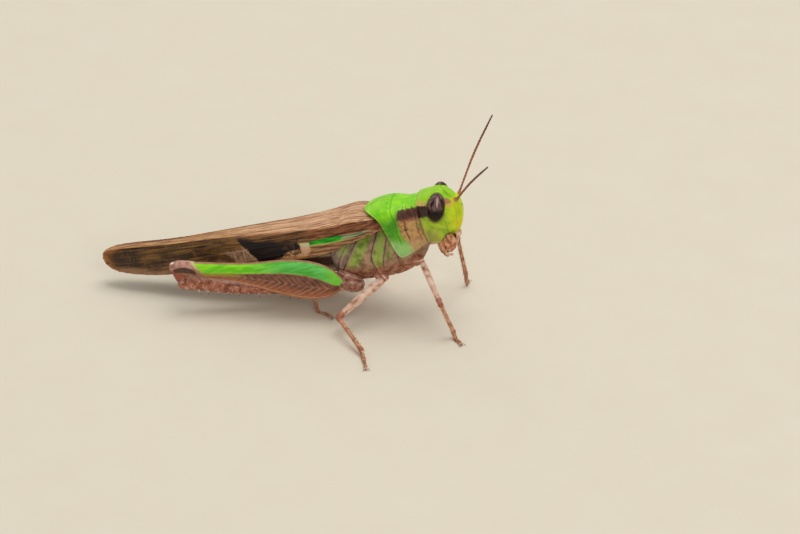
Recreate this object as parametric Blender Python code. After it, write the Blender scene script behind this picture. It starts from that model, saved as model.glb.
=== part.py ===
# A slender green-winged grasshopper, life size, standing with its wings folded.
# Sizes are in millimetres and angles in degrees. The meshes are written in metres.
# Most of the insect is laid out in a body frame that is pitched head up. There "along" runs
# forward, "side" to the insect's left and "up" towards its back. The legs are laid out in the
# world frame, from the joints that their feet and hips fix.

import math

import bmesh
import bpy
from mathutils import Matrix, Vector

MM = 0.001

# Stance
bodyPitch = 15.0
hipPlace = (-10.0, 5.5)  # forward and up place of the body frame's origin
floorLevel = 0.0

# Body
wingTip = -20.8  # along the body
wingThickness = 0.5
shellThickness = 0.28
shellFront = 7.32
shellTip = 2.6
headRear = 7.4
eyeCentre = (8.84, 1.13, 2.98)
eyeSize = (0.74, 0.76, 1.2)  # half length, half width, half height
eyeLean = (19.0, 10.0)  # top forwards, top towards the midline
eyeGap = 0.07
abdomenFront = -1.0
abdomenRear = -11.6
abdomenRings = 9
jointGap = 0.07
kneeGap = 0.14
hipGap = 0.22
middleHipGap = 0.42
pocketGap = 0.1

# Legs
antennaThickness = 0.5
foreThickness = (0.8, 0.62, 0.5)  # femur at its hip, femur at its knee, tibia
middleThickness = (1.0, 0.66, 0.52)
hindDepth = 3.55
hindWidth = 1.35
tarsusThickness = 0.5
tibiaThickness = 0.56
spinesInRow = 11
spineLength = 0.36

colours = {
    "green": (0.18, 0.52, 0.03),
    "eye": (0.06, 0.035, 0.03),
    "antenna_brown": (0.25, 0.12, 0.07),
    "mouth_brown": (0.5, 0.24, 0.12),
    "thorax_brown": (0.33, 0.24, 0.14),
    "abdomen_tan": (0.42, 0.33, 0.2),
    "wing_brown": (0.22, 0.14, 0.08),
    "leg_tan": (0.5, 0.34, 0.24),
    "hind_femur": (0.32, 0.22, 0.1),
    "hind_tibia": (0.4, 0.2, 0.12),
}


def material(name):
    found = bpy.data.materials.get(name)
    if found:
        return found
    made = bpy.data.materials.new(name)
    made.use_nodes = True
    shader = made.node_tree.nodes["Principled BSDF"]
    shader.inputs["Base Color"].default_value = (*colours[name], 1.0)
    shader.inputs["Roughness"].default_value = 0.2 if name == "eye" else 0.5
    shader.inputs["Metallic"].default_value = 0.0
    return made


def onBody(along, side, up):
    # A place in the body frame, as a place in the world frame.
    pitch = math.radians(bodyPitch)
    forward = hipPlace[0] + along * math.cos(pitch) - up * math.sin(pitch)
    height = hipPlace[1] + along * math.sin(pitch) + up * math.cos(pitch)
    return Vector((forward, side, height))


def blend(table, at):
    # Each table row is a place followed by the values there. Between rows they run straight.
    if at <= table[0][0]:
        return table[0][1:]
    for low, high in zip(table, table[1:]):
        if at <= high[0]:
            share = (at - low[0]) / (high[0] - low[0])
            return tuple(a + (b - a) * share for a, b in zip(low[1:], high[1:]))
    return table[-1][1:]


def steps(start, end, count):
    return [start + (end - start) * i / (count - 1) for i in range(count)]


def smooth(points, count):
    # Places spaced evenly along a smooth curve through the given points.
    tables = [points[0]] + list(points) + [points[-1]]
    found = []
    spans = len(points) - 1
    for at in steps(0.0, spans, count):
        span = min(int(at), spans - 1)
        share = at - span
        before, first, second, after = tables[span : span + 4]
        found.append(
            0.5
            * (
                2.0 * first
                + (second - before) * share
                + (2.0 * before - 5.0 * first + 4.0 * second - after) * share**2
                + (3.0 * first - before - 3.0 * second + after) * share**3
            )
        )
    return found


def evenly(points, count):
    # Places the same distance apart along a smooth curve through the given points.
    fine = smooth(points, 12 * count)
    lengths = [0.0]
    for first, second in zip(fine, fine[1:]):
        lengths.append(lengths[-1] + (second - first).length)
    found = []
    for at in steps(0.0, lengths[-1], count):
        span = min(sum(1 for length in lengths[1:] if length < at), len(fine) - 2)
        share = (at - lengths[span]) / (lengths[span + 1] - lengths[span])
        found.append(fine[span].lerp(fine[span + 1], share))
    return found


def nextRing(mesh, loop, ring):
    # The open edge loop is extruded once, and each new corner goes to its place on the ring.
    count = len(loop)
    edges = [mesh.edges.get((loop[i], loop[(i + 1) % count])) for i in range(count)]
    made = bmesh.ops.extrude_edge_only(mesh, edges=edges)["geom"]
    fresh = {item for item in made if isinstance(item, bmesh.types.BMVert)}
    following = []
    for corner in loop:
        others = [edge.other_vert(corner) for edge in corner.link_edges]
        following.append(next(other for other in others if other in fresh))
    for corner, place in zip(following, ring):
        corner.co = place
    return following


def loft(rings):
    # A closed body through rings of corners, with both ends filled.
    mesh = bmesh.new()
    count = len(rings[0])
    bmesh.ops.create_circle(mesh, segments=count, radius=1.0)
    mesh.verts.ensure_lookup_table()
    loop = list(mesh.verts)
    for corner, place in zip(loop, rings[0]):
        corner.co = place
    for ring in rings[1:]:
        loop = nextRing(mesh, loop, ring)
    ends = [edge for edge in mesh.edges if edge.is_boundary]
    bmesh.ops.holes_fill(mesh, edges=ends, sides=count)
    bmesh.ops.recalc_face_normals(mesh, faces=mesh.faces)
    return mesh


def finish(name, mesh, look, creases=40.0):
    # The mesh becomes an object of its own, in metres.
    bmesh.ops.scale(mesh, vec=(MM, MM, MM), verts=mesh.verts)
    data = bpy.data.meshes.new(name)
    mesh.to_mesh(data)
    mesh.free()
    data.shade_smooth()
    data.set_sharp_from_angle(angle=math.radians(creases))
    data.materials.append(material(look))
    made = bpy.data.objects.new(name, data)
    bpy.context.scene.collection.objects.link(made)
    return made


def frames(path, hint):
    # Across and upward directions at each place of a path, upward leaning to the hint.
    found = []
    for i in range(len(path)):
        ahead = path[min(i + 1, len(path) - 1)] - path[max(i - 1, 0)]
        across = ahead.cross(hint).normalized()
        found.append((across, across.cross(ahead).normalized()))
    return found


def tube(path, widths, heights, sides, hint=Vector((0.0, 0.0, 1.0)), flat=False):
    # Oval rings round a path. A flat tube is cut level where it would pass through the floor.
    rings = []
    for place, (across, upward), width, height in zip(path, frames(path, hint), widths, heights):
        ring = []
        for i in range(sides):
            turn = 2.0 * math.pi * (i + 0.5) / sides
            corner = place + across * (width / 2.0 * math.cos(turn))
            corner += upward * (height / 2.0 * math.sin(turn))
            if flat:
                corner.z = max(corner.z, floorLevel)
            ring.append(corner)
        rings.append(ring)
    return loft(rings)


def spike(mesh, face, tip, inset):
    # A face drawn out to a point, from a smaller face inside its edges.
    bmesh.ops.inset_individual(mesh, faces=[face], thickness=inset)
    made = bmesh.ops.poke(mesh, faces=[face])
    made["verts"][0].co = tip


def nearestFace(mesh, place):
    return min(mesh.faces, key=lambda face: (face.calc_center_median() - place).length)


def ellipsoid(centre, size, grow, side):
    mesh = bmesh.new()
    bmesh.ops.create_uvsphere(mesh, u_segments=14, v_segments=10, radius=1.0)
    size = [value + grow for value in size]
    bmesh.ops.scale(mesh, vec=size, verts=mesh.verts)
    turn = Matrix.Rotation(math.radians(eyeLean[0]), 3, "Y")
    turn = Matrix.Rotation(math.radians(eyeLean[1] * side), 3, "X") @ turn
    pitch = Matrix.Rotation(math.radians(-bodyPitch), 3, "Y")
    bmesh.ops.rotate(mesh, matrix=pitch @ turn, verts=mesh.verts)
    place = onBody(centre[0], centre[1] * side, centre[2])
    bmesh.ops.translate(mesh, vec=place, verts=mesh.verts)
    return mesh


def mirrored(half):
    # A ring that goes down one side and back up the other, from a half ring at the midline.
    return half + [(along, -side, up) for along, side, up in reversed(half) if side > 0.0]


# Head: level, ridge front, cheek front, rear, half width in front, half width at the side,
# and how far the cheek's lower edge is lifted in front.
headLevels = [
    (-0.32, 9.1, 9.0, 7.95, 0.75, 1.15, 0.35),
    (0.02, 9.75, 9.45, 7.72, 1.05, 1.36, 0.55),
    (0.45, 10.2, 9.92, 7.55, 1.2, 1.45, 0.35),
    (1.0, 10.42, 10.08, 7.44, 1.22, 1.5, 0.12),
    (1.7, 10.62, 10.22, headRear, 1.2, 1.52, 0.0),
    (2.4, 10.74, 10.28, headRear, 1.08, 1.5, 0.0),
    (3.0, 10.72, 10.22, headRear, 0.92, 1.46, 0.0),
    (3.3, 10.62, 10.18, headRear, 0.74, 1.38, 0.0),
    (3.58, 10.58, 10.38, headRear + 0.02, 0.5, 1.2, 0.0),
    (3.84, 10.35, 10.22, 7.62, 0.44, 0.92, 0.0),
    (4.06, 10.1, 10.0, 8.2, 0.38, 0.6, 0.0),
    (4.24, 9.8, 9.75, 8.9, 0.2, 0.3, 0.0),
]


def headRing(level, ridge, cheek, rear, front, side, lift):
    middle = 0.5 * (cheek + rear)
    half = [
        (ridge, 0.0, level),
        (ridge - 0.03, 0.62 * min(front, 0.5), level),
        (cheek, 0.95 * min(front, 0.5), level + 0.2 * lift),
        (cheek - 0.04, 0.8 * front, level + 0.8 * lift),
        (cheek - 0.22, front, level + lift),
        (0.5 * (cheek + middle), 0.5 * (front + side), level + 0.5 * lift),
        (middle, side, level),
        (rear + 0.25, 0.93 * side, level),
        (rear, 0.6 * side, level),
        (rear, 0.0, level),
    ]
    return [onBody(*corner) for corner in mirrored(half)]


def buildHead():
    head = finish("head", loft([headRing(*row) for row in headLevels]), "green", 30.0)
    for name, side in (("right", -1.0), ("left", 1.0)):
        eye = finish("eye_" + name, ellipsoid(eyeCentre, eyeSize, 0.0, side), "eye")
        eye.data.set_sharp_from_angle(angle=math.radians(80.0))
        socket = finish("socket_" + name, ellipsoid(eyeCentre, eyeSize, eyeGap, side), "eye")
        socket.hide_render = True
        socket.display_type = "WIRE"
        cut = head.modifiers.new("socket", "BOOLEAN")
        cut.operation = "DIFFERENCE"
        cut.solver = "EXACT"
        cut.object = socket


def buildMouth():
    # Upper lip: a shield in front of the jaws, widest at its top.
    rows = [
        (-0.08, 10.08, 0.72),
        (-0.6, 9.84, 0.76),
        (-1.1, 9.52, 0.72),
        (-1.5, 9.24, 0.6),
        (-1.76, 9.02, 0.34),
    ]
    rings = []
    for up, front, half in rows:
        back = front - 0.42
        outline = [(front, 0.0), (front - 0.08, 0.6 * half), (front - 0.25, half)]
        outline += [(back, 0.9 * half), (back, 0.0)]
        rings.append([onBody(*c) for c in mirrored([(a, s, up) for a, s in outline])])
    finish("upper_lip", loft(rings), "mouth_brown")
    # Jaws: the block of mandibles, maxillae and lower lip behind the upper lip.
    rows = [
        (-1.62, 8.5, 8.06, 0.55),
        (-1.25, 8.62, 8.02, 0.85),
        (-0.8, 8.88, 8.04, 1.0),
        (-0.45, 9.05, 8.07, 1.02),
    ]
    rings = []
    for up, front, rear, half in rows:
        outline = [(front, 0.0), (front, 0.6 * half), (front - 0.05, half)]
        outline += [(0.5 * (front + rear), 1.04 * half), (rear, 0.85 * half), (rear, 0.0)]
        rings.append([onBody(*c) for c in mirrored([(a, s, up) for a, s in outline])])
    finish("jaws", loft(rings), "mouth_brown")
    for name, side in (("right", -1.0), ("left", 1.0)):
        route = [(8.5, 1.2, -0.7), (8.62, 1.34, -1.1), (8.85, 1.28, -1.45), (9.15, 1.05, -1.62)]
        path = smooth([onBody(a, s * side, u) for a, s, u in route], 6)
        finish("palp_" + name, tube(path, [0.3] * 6, [0.3] * 6, 6), "mouth_brown")


def buildAntennae():
    # Each feeler runs from its socket to its tip, with a little bow.
    tips = {"right": (2.62, -4.25, 16.55), "left": (1.78, 3.25, 17.4)}
    for name, side in (("right", -1.0), ("left", 1.0)):
        root = onBody(10.62, 0.52 * side, 3.2)
        tip = Vector(tips[name])
        middle = root.lerp(tip, 0.5) + Vector((-0.12, 0.12 * side, 0.1))
        count = 13
        path = smooth([root, middle, tip], count)
        widths = [antennaThickness] * count
        widths[0] = antennaThickness + 0.08
        widths[-1] = 0.36
        finish("antenna_" + name, tube(path, widths, widths, 8), "antenna_brown")


# Pronotum: for each place round the arch, from the midline down, the share of the half width,
# the share of the height, and the rear margin's place along the body.
archPlaces = [
    (0.0, 0.0, shellTip),
    (0.36, 0.02, 2.8),
    (0.7, 0.07, 3.3),
    (0.9, 0.16, 3.85),
    (0.99, 0.3, 4.2),
    (1.0, 0.52, 4.42),
    (0.99, 0.76, 4.66),
    (0.95, 0.93, 4.85),
    (0.92, 1.0, 5.1),
]
# Along the body: the half width and the crest's height.
shellSizes = [
    (2.6, 1.9, 3.42),
    (3.2, 2.0, 3.68),
    (4.0, 2.12, 3.8),
    (4.9, 2.08, 3.84),
    (5.7, 1.86, 3.74),
    (6.3, 1.66, 3.64),
    (6.8, 1.64, 3.66),
    (7.32, 1.68, 3.7),
]
shellLower = [(0.0, -0.78), (0.35, -0.62), (0.7, -0.3), (1.0, 0.08)]


def buildPronotum():
    rings = []
    for share in (0.0, 0.08, 0.2, 0.34, 0.47, 0.58, 0.68, 0.78, 0.9, 1.0):
        lower = blend(shellLower, share)[0]
        outer = []
        inner = []
        for width, drop, rear in archPlaces:
            along = rear + (shellFront - rear) * share
            half, crest = blend(shellSizes, along)
            ridge = 0.05 if width == 0.0 else 0.0
            up = crest + (lower - crest) * drop
            outer.append((along, half * width, up + ridge))
            inside = max(half * width - shellThickness, 0.0)
            inner.append((along, inside, up - shellThickness * (1.0 - drop)))
        rise = [(a, -s, u) for a, s, u in reversed(outer)] + outer[1:]
        back = list(reversed(inner)) + [(a, -s, u) for a, s, u in inner[1:]]
        rings.append([onBody(*corner) for corner in rise + back])
    finish("pronotum", loft(rings), "green", 50.0)


# Thorax: place along, lowest, height of the widest level, top, half width below, at the
# widest level, below the wings and on top.
thoraxSizes = [
    (-0.9, -2.2, -0.2, 2.3, 0.75, 1.5, 1.3, 0.7),
    (-0.4, -2.55, -0.3, 2.4, 0.95, 1.78, 1.45, 0.75),
    (0.6, -2.72, -0.3, 2.4, 1.05, 1.95, 1.4, 0.85),
    (1.9, -2.78, -0.3, 2.35, 1.1, 1.98, 1.28, 0.85),
    (3.1, -2.78, -0.3, 2.3, 1.1, 1.95, 1.1, 0.8),
    (4.1, -2.74, -0.3, 2.25, 1.05, 1.8, 1.0, 0.75),
    (4.9, -2.6, 0.1, 2.5, 0.95, 1.62, 1.3, 0.9),
    (5.7, -2.3, 0.3, 3.0, 0.85, 1.44, 1.3, 0.9),
    (6.4, -1.85, 0.5, 3.1, 0.75, 1.28, 1.2, 0.8),
    (7.0, -1.1, 0.8, 3.1, 0.65, 1.2, 1.15, 0.75),
    (7.3, -0.6, 1.0, 3.1, 0.55, 1.15, 1.1, 0.7),
]


def buildThorax():
    rings = []
    for along, low, wide, top, below, widest, waist, crown in thoraxSizes:
        half = [
            (along, 0.0, low),
            (along, 0.6 * below, low + 0.02),
            (along, below, low + 0.12),
            (along, 0.5 * (below + widest), low + 0.32 * (wide - low)),
            (along, 0.94 * widest, low + 0.66 * (wide - low)),
            (along, widest, wide),
            (along, 0.5 * (widest + waist), wide + 0.36 * (top - wide)),
            (along, 0.6 * waist + 0.4 * crown, wide + 0.64 * (top - wide)),
            (along, crown, top - 0.2),
            (along, 0.5 * crown, top - 0.03),
            (along, 0.0, top),
        ]
        rings.append([onBody(*corner) for corner in mirrored(half)])
    finish("thorax", loft(rings), "thorax_brown")


# Abdomen: place along, height of its middle, half width and half height.
abdomenSizes = [
    (-11.6, 0.62, 0.42, 0.5),
    (-10.6, 0.55, 0.72, 0.88),
    (-9.0, 0.45, 0.9, 1.12),
    (-6.0, 0.3, 1.16, 1.45),
    (-3.5, 0.15, 1.36, 1.85),
    (-1.0, 0.05, 1.46, 2.15),
]


def buildAbdomen():
    # Each ring of the abdomen is a little wider at its rear edge than where the next begins.
    places = []
    for edge in steps(abdomenFront, abdomenRear, abdomenRings + 1):
        if edge < abdomenFront:
            places.append((edge + 0.05, 1.0))
        if edge > abdomenRear:
            places.append((edge - 0.05, 0.93))
            places.append((edge - 0.6, 0.97))
    rings = []
    count = 14
    for along, share in places:
        middle, half, tall = blend(abdomenSizes, along)
        ring = []
        for i in range(count):
            turn = 2.0 * math.pi * i / count
            up = middle + tall * share * math.cos(turn)
            ring.append(onBody(along, half * share * math.sin(turn), up))
        rings.append(ring)
    finish("abdomen", loft(rings), "abdomen_tan", 30.0)
    # Egg-laying valves: a short blunt tip of two pairs, drawn as one piece.
    places = [(-11.62, 0.6, 0.72), (-12.0, 0.56, 0.68), (-12.5, 0.44, 0.56), (-12.85, 0.24, 0.3)]
    path = [onBody(along, 0.0, 0.55) for along, _, _ in places]
    widths = [width for _, width, _ in places]
    heights = [height for _, _, height in places]
    finish("ovipositor", tube(path, widths, heights, 8), "abdomen_tan")


# Forewing: place along, top edge, half width at the shoulder, lower edge and half width there.
wingSizes = [
    (4.0, 2.92, 1.42, 2.0, 1.6),
    (3.3, 2.98, 1.6, 1.78, 1.72),
    (2.4, 3.1, 1.82, 1.56, 1.88),
    (1.6, 3.2, 1.9, 1.4, 1.98),
    (0.6, 3.1, 1.86, 1.16, 2.04),
    (-0.5, 3.0, 1.78, 0.86, 2.08),
    (-2.0, 2.9, 1.64, 0.62, 2.06),
    (-4.0, 2.87, 1.48, 0.56, 1.98),
    (-6.0, 2.89, 1.38, 0.54, 1.86),
    (-8.0, 2.89, 1.26, 0.53, 1.7),
    (-10.0, 2.92, 1.08, 0.53, 1.54),
    (-12.0, 2.95, 0.9, 0.52, 1.38),
    (-14.0, 2.97, 0.76, 0.46, 1.24),
    (-16.0, 3.06, 0.66, 0.54, 1.1),
    (-18.0, 3.2, 0.62, 0.86, 0.96),
    (-19.2, 3.22, 0.6, 1.18, 0.86),
    (-20.0, 3.16, 0.58, 1.52, 0.76),
    (-20.5, 3.02, 0.56, 1.86, 0.68),
    (wingTip, 2.8, 0.54, 2.24, 0.6),
]


def wingRing(along, top, shoulder, lower, flare, side):
    # The flat back field, the bend at the shoulder, and the side field, all of one thickness.
    midline = jointGap / 2.0
    drop = top - 0.14
    outer = [
        (midline, top),
        (0.6 * shoulder, top - 0.02),
        (shoulder - 0.1, drop + 0.06),
        (shoulder + 0.02, drop - 0.14),
        (shoulder + 0.45 * (flare - shoulder), drop + 0.4 * (lower - drop)),
        (shoulder + 0.85 * (flare - shoulder), drop + 0.78 * (lower - drop)),
        (flare, lower),
    ]
    inner = []
    for place, up in reversed(outer):
        inside = max(place - wingThickness, midline)
        if top - lower > wingThickness:
            inner.append((inside, min(up, top - wingThickness)))
        else:
            inner.append((inside, lower + (up - lower) * 0.98))
    return [onBody(along, place * side, up) for place, up in outer + inner]


def buildWings():
    for name, side in (("right", -1.0), ("left", 1.0)):
        rings = [wingRing(*row, side) for row in wingSizes]
        finish("forewing_" + name, loft(rings), "wing_brown")


def limb(name, start, end, gaps, thickness, look):
    # A leg segment between two joints, tapered, and stopping short of both by its gaps.
    axis = (end - start).normalized()
    count = 8
    path = [
        (start + axis * gaps[0]).lerp(end - axis * gaps[1], share)
        for share in steps(0.0, 1.0, count)
    ]
    widths = [thickness[0] + (thickness[1] - thickness[0]) * i / (count - 1) for i in range(count)]
    widths[0] *= 0.62
    widths[-1] *= 0.85
    heights = [width * 1.12 for width in widths]
    finish(name, tube(path, widths, heights, 8), look)


def pocket(name, start, end, thickness):
    # Room for a coxa in the underside of the thorax.
    axis = (end - start).normalized()
    count = 4
    path = [
        (start - axis * pocketGap).lerp(end + axis * pocketGap, share)
        for share in steps(0.0, 1.0, count)
    ]
    spread = thickness[1] - thickness[0]
    widths = [thickness[0] + spread * share + 2.0 * pocketGap for share in steps(0.0, 1.0, count)]
    heights = [width * 1.12 for width in widths]
    cutter = finish(name, tube(path, widths, heights, 8), "thorax_brown")
    cutter.hide_render = True
    cutter.display_type = "WIRE"
    cut = bpy.data.objects["thorax"].modifiers.new("pocket", "BOOLEAN")
    cut.operation = "DIFFERENCE"
    cut.solver = "EXACT"
    cut.object = cutter


def foot(name, ankle, heel, tip):
    # The tarsus comes down from its ankle and ends flat on the floor, with two claws.
    rest = tarsusThickness / 2.0 - 0.02
    down = Vector((heel.x, heel.y, floorLevel + rest))
    toe = Vector((tip.x, tip.y, floorLevel + rest))
    start = ankle + (down - ankle).normalized() * 0.12
    count = 9
    path = evenly([start, down, down.lerp(toe, 0.5), toe], count)
    waists = [0.92, 1.0, 0.94, 1.04, 0.94, 1.04, 0.94, 1.0, 1.06]
    widths = [tarsusThickness * waist for waist in waists]
    mesh = tube(path, widths, widths, 8, flat=True)
    ahead = (toe - down).normalized()
    across = Vector((-ahead.y, ahead.x, 0.0))
    for side in (-1.0, 1.0):
        face = nearestFace(mesh, toe - ahead * 0.1 + across * (side * 0.25))
        end = toe + ahead * 0.34 + across * (side * 0.34)
        end.z = floorLevel + 0.06
        spike(mesh, face, end, 0.04)
    finish(name, mesh, "leg_tan")


def place(triple, side):
    # A place given for the right side, on either side of the body.
    return Vector((triple[0], -triple[1] * side, triple[2]))


# Joints of the fore legs and middle legs, in the world frame: hip, trochanter, knee, ankle,
# heel and toe. The fore legs stand unevenly. The side is taken away from the midline.
foreJoints = {
    "right": [
        (-3.9, 1.0, 5.5),
        (-3.3, 1.65, 5.74),
        (-1.32, 4.25, 3.4),
        (-0.24, 3.9, 0.62),
        (-0.02, 4.25, 0.0),
        (0.55, 4.95, 0.0),
    ],
    "left": [
        (-3.9, 1.0, 5.5),
        (-3.3, 1.65, 5.74),
        (-1.33, 4.55, 4.8),
        (-0.6, 4.55, 1.35),
        (-0.52, 4.72, 0.0),
        (-0.5, 5.3, 0.0),
    ],
}
middleJoints = [
    (-7.0, 1.15, 4.0),
    (-6.4, 1.9, 3.95),
    (-9.72, 4.95, 1.62),
    (-7.25, 7.9, 0.5),
    (-7.0, 8.4, 0.0),
    (-6.45, 10.1, 0.0),
]


def buildShortLegs():
    for name, side in (("right", 1.0), ("left", -1.0)):
        for pair, joints, sizes, gap in (
            ("fore", foreJoints[name], foreThickness, hipGap),
            ("middle", middleJoints, middleThickness, middleHipGap),
        ):
            hip, trochanter, knee, ankle, heel, toe = [place(joint, side) for joint in joints]
            end = pair + "_" + name
            hipSize = (1.15, 0.8) if pair == "fore" else (1.15, 0.78)
            coxaGaps = (0.0, jointGap)
            limb("coxa_" + end, hip, trochanter, coxaGaps, hipSize, "thorax_brown")
            pocket("pocket_" + end, hip, trochanter, hipSize)
            limb("femur_" + end, trochanter, knee, (gap, kneeGap), sizes[:2], "leg_tan")
            limb("tibia_" + end, knee, ankle, (kneeGap, kneeGap), (sizes[2],) * 2, "leg_tan")
            foot("tarsus_" + end, ankle, heel, toe)


# Hind leg, right side: trochanter, knee, bend below the knee, ankle, heel and toe. The left
# knee is held lower and closer in.
hindJoints = {
    "right": [
        (-9.85, 2.42, 3.35),
        (-24.05, 3.3, 4.02),
        (-22.6, 3.1, 2.2),
        (-12.5, 1.25, 1.7),
        (-12.1, 1.7, 0.0),
        (-10.75, 2.6, 0.0),
    ],
    "left": [
        (-9.85, 2.42, 3.35),
        (-23.9, 2.9, 2.95),
        (-22.5, 2.95, 1.75),
        (-12.4, 2.1, 0.7),
        (-12.3, 2.1, 0.0),
        (-10.4, 2.5, 0.0),
    ],
}
# Share of the length from the hip, and the share of the greatest depth and width there.
femurSizes = [
    (0.0, 0.26, 0.5),
    (0.03, 0.5, 0.72),
    (0.07, 0.74, 0.88),
    (0.13, 0.92, 0.98),
    (0.2, 1.0, 1.0),
    (0.28, 0.99, 0.98),
    (0.36, 0.91, 0.9),
    (0.45, 0.74, 0.78),
    (0.55, 0.57, 0.66),
    (0.66, 0.46, 0.58),
    (0.78, 0.4, 0.54),
    (0.86, 0.37, 0.54),
    (0.92, 0.4, 0.62),
    (0.97, 0.38, 0.6),
    (1.0, 0.24, 0.42),
]


def hindFemurRing(centre, outward, upward, deep, wide):
    # Keeled above and below, with two ribs on each face.
    half = [(0.0, 0.5), (0.34, 0.38), (0.5, 0.13), (0.5, -0.13), (0.34, -0.38)]
    corners = half + [(0.0, -0.5)] + [(-x, y) for x, y in reversed(half[1:])]
    return [centre + outward * (wide * x) + upward * (deep * y) for x, y in corners]


def buildHindLegs():
    for name, side in (("right", 1.0), ("left", -1.0)):
        joints = [place(joint, side) for joint in hindJoints[name]]
        trochanter, knee, bend, ankle, heel, toe = joints
        hip = place((-8.65, 1.5, 2.9), side)
        limb("coxa_hind_" + name, hip, trochanter, (0.0, hipGap), (1.4, 1.05), "thorax_brown")
        pocket("pocket_hind_" + name, hip, trochanter, (1.4, 1.05))
        axis = (knee - trochanter).normalized()
        outward = Vector((0.0, -side, 0.0))
        outward = (outward - axis * outward.dot(axis)).normalized()
        upward = Vector((0.0, 0.0, 1.0))
        upward = (upward - axis * upward.dot(axis)).normalized()
        rings = []
        for share, deep, wide in femurSizes:
            centre = trochanter.lerp(knee, share) + upward * (0.12 * math.sin(math.pi * share))
            rings.append(
                hindFemurRing(centre, outward, upward, deep * hindDepth, wide * hindWidth)
            )
        finish("femur_hind_" + name, loft(rings), "hind_femur", 50.0)
        buildHindTibia(name, knee - axis * 0.42 - upward * 0.88, bend, ankle)
        foot("tarsus_hind_" + name, ankle, heel, toe)


def buildHindTibia(name, root, bend, ankle):
    # Bent just below the knee, then straight, with two rows of spines under it.
    ahead = (ankle - bend).normalized()
    down = Vector((0.0, 0.0, -1.0))
    down = (down - ahead * down.dot(ahead)).normalized()
    across = ahead.cross(down)
    path = [root, root.lerp(bend, 0.5) + Vector((-0.12, 0.0, -0.12)), bend]
    length = (ankle - bend).length - kneeGap - 0.1
    pitch = length / (spinesInRow + 1)
    bases = []
    for i in range(1, spinesInRow + 1):
        for shift in (-0.11, 0.11):
            path.append(bend + ahead * (pitch * i + shift))
        bases.append(bend + ahead * (pitch * i))
    path.append(bend + ahead * length)
    count = len(path)
    widths = [tibiaThickness] * count
    widths[0] = 0.5
    widths[-1] = tibiaThickness + 0.12
    mesh = tube(path, widths, widths, 8)
    for base in bases:
        for side in (-1.0, 1.0):
            lean = (down * 0.8 + across * (side * 0.6)).normalized()
            face = nearestFace(mesh, base + lean * (tibiaThickness / 2.0))
            tip = base + lean * (tibiaThickness / 2.0 + spineLength) + ahead * 0.18
            spike(mesh, face, tip, 0.03)
    finish("tibia_hind_" + name, mesh, "hind_tibia", 50.0)


def centreOnFloor():
    # The origin is on the floor, in the middle of the insect's box.
    pieces = [item for item in bpy.data.objects if not item.hide_render]
    corners = [corner.co for item in pieces for corner in item.data.vertices]
    low = [min(corner[axis] for corner in corners) for axis in range(2)]
    high = [max(corner[axis] for corner in corners) for axis in range(2)]
    shift = Vector((-(low[0] + high[0]) / 2.0, -(low[1] + high[1]) / 2.0, 0.0))
    for item in bpy.data.objects:
        item.data.transform(Matrix.Translation(shift))


for item in list(bpy.data.objects):
    bpy.data.objects.remove(item)
buildHead()
buildMouth()
buildAntennae()
buildPronotum()
buildThorax()
buildAbdomen()
buildWings()
buildShortLegs()
buildHindLegs()
centreOnFloor()
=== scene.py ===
import math
import random

import bmesh
import bpy
import numpy as np
from mathutils import Matrix, Vector


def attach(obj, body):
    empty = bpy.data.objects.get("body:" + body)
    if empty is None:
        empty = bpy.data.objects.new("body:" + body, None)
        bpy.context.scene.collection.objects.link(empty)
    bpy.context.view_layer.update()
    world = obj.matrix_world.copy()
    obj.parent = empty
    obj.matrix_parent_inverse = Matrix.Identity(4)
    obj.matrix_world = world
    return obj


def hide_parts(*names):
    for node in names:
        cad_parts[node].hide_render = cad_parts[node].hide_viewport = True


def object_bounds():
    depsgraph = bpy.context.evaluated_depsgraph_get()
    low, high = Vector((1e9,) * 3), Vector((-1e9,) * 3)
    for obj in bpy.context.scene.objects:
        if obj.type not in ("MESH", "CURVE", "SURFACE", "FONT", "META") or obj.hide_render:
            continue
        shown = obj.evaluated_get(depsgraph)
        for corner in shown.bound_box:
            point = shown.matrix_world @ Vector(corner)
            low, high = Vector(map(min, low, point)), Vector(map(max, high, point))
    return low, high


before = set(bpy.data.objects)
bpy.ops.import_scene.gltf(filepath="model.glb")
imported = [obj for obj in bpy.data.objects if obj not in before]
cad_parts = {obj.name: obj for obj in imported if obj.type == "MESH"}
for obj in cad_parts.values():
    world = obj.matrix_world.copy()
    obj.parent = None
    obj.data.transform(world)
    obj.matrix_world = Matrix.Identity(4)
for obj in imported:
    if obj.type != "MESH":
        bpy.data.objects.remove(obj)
cadLow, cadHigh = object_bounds()

# Sizes are in millimetres until a piece is finished. The body is laid out along, to the side
# and up in a frame pitched head up, as its solids are; legs and feelers in the row's own frame.
metre = 1000.0
sides = (("right", -1.0), ("left", 1.0))
stance = {
    "pitch": math.radians(15.0),
    "hipsAheadOfTail": 20.816,
    "hipsUp": 5.5,
    "forefeetAheadOfTail": 30.816,
}
tail = cadLow.x * metre
hips = (tail + stance["hipsAheadOfTail"], stance["hipsUp"])
forefeet = tail + stance["forefeetAheadOfTail"]
leanCos = math.cos(stance["pitch"])
leanSin = math.sin(stance["pitch"])


def onBody(places):
    # Places along, to the side and up on the body, turned into the row's frame.
    places = np.asarray(places, float)
    turned = places.copy()
    turned[..., 0] = hips[0] + places[..., 0] * leanCos - places[..., 2] * leanSin
    turned[..., 2] = hips[1] + places[..., 0] * leanSin + places[..., 2] * leanCos
    return turned


def standing(triple, side):
    # A joint as its solids have it: ahead of the fore feet, out to a side, and up.
    return np.array([forefeet + triple[0], triple[1] * side, triple[2]])


def mirrored(places, side):
    return np.array(places) * (1.0, side, 1.0)


def rise(values, low, high):
    # 0 below the low value and 1 above the high one.
    share = np.clip((np.asarray(values, float) - low) / (high - low), 0.0, 1.0)
    return share * share * (3.0 - 2.0 * share)


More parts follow.
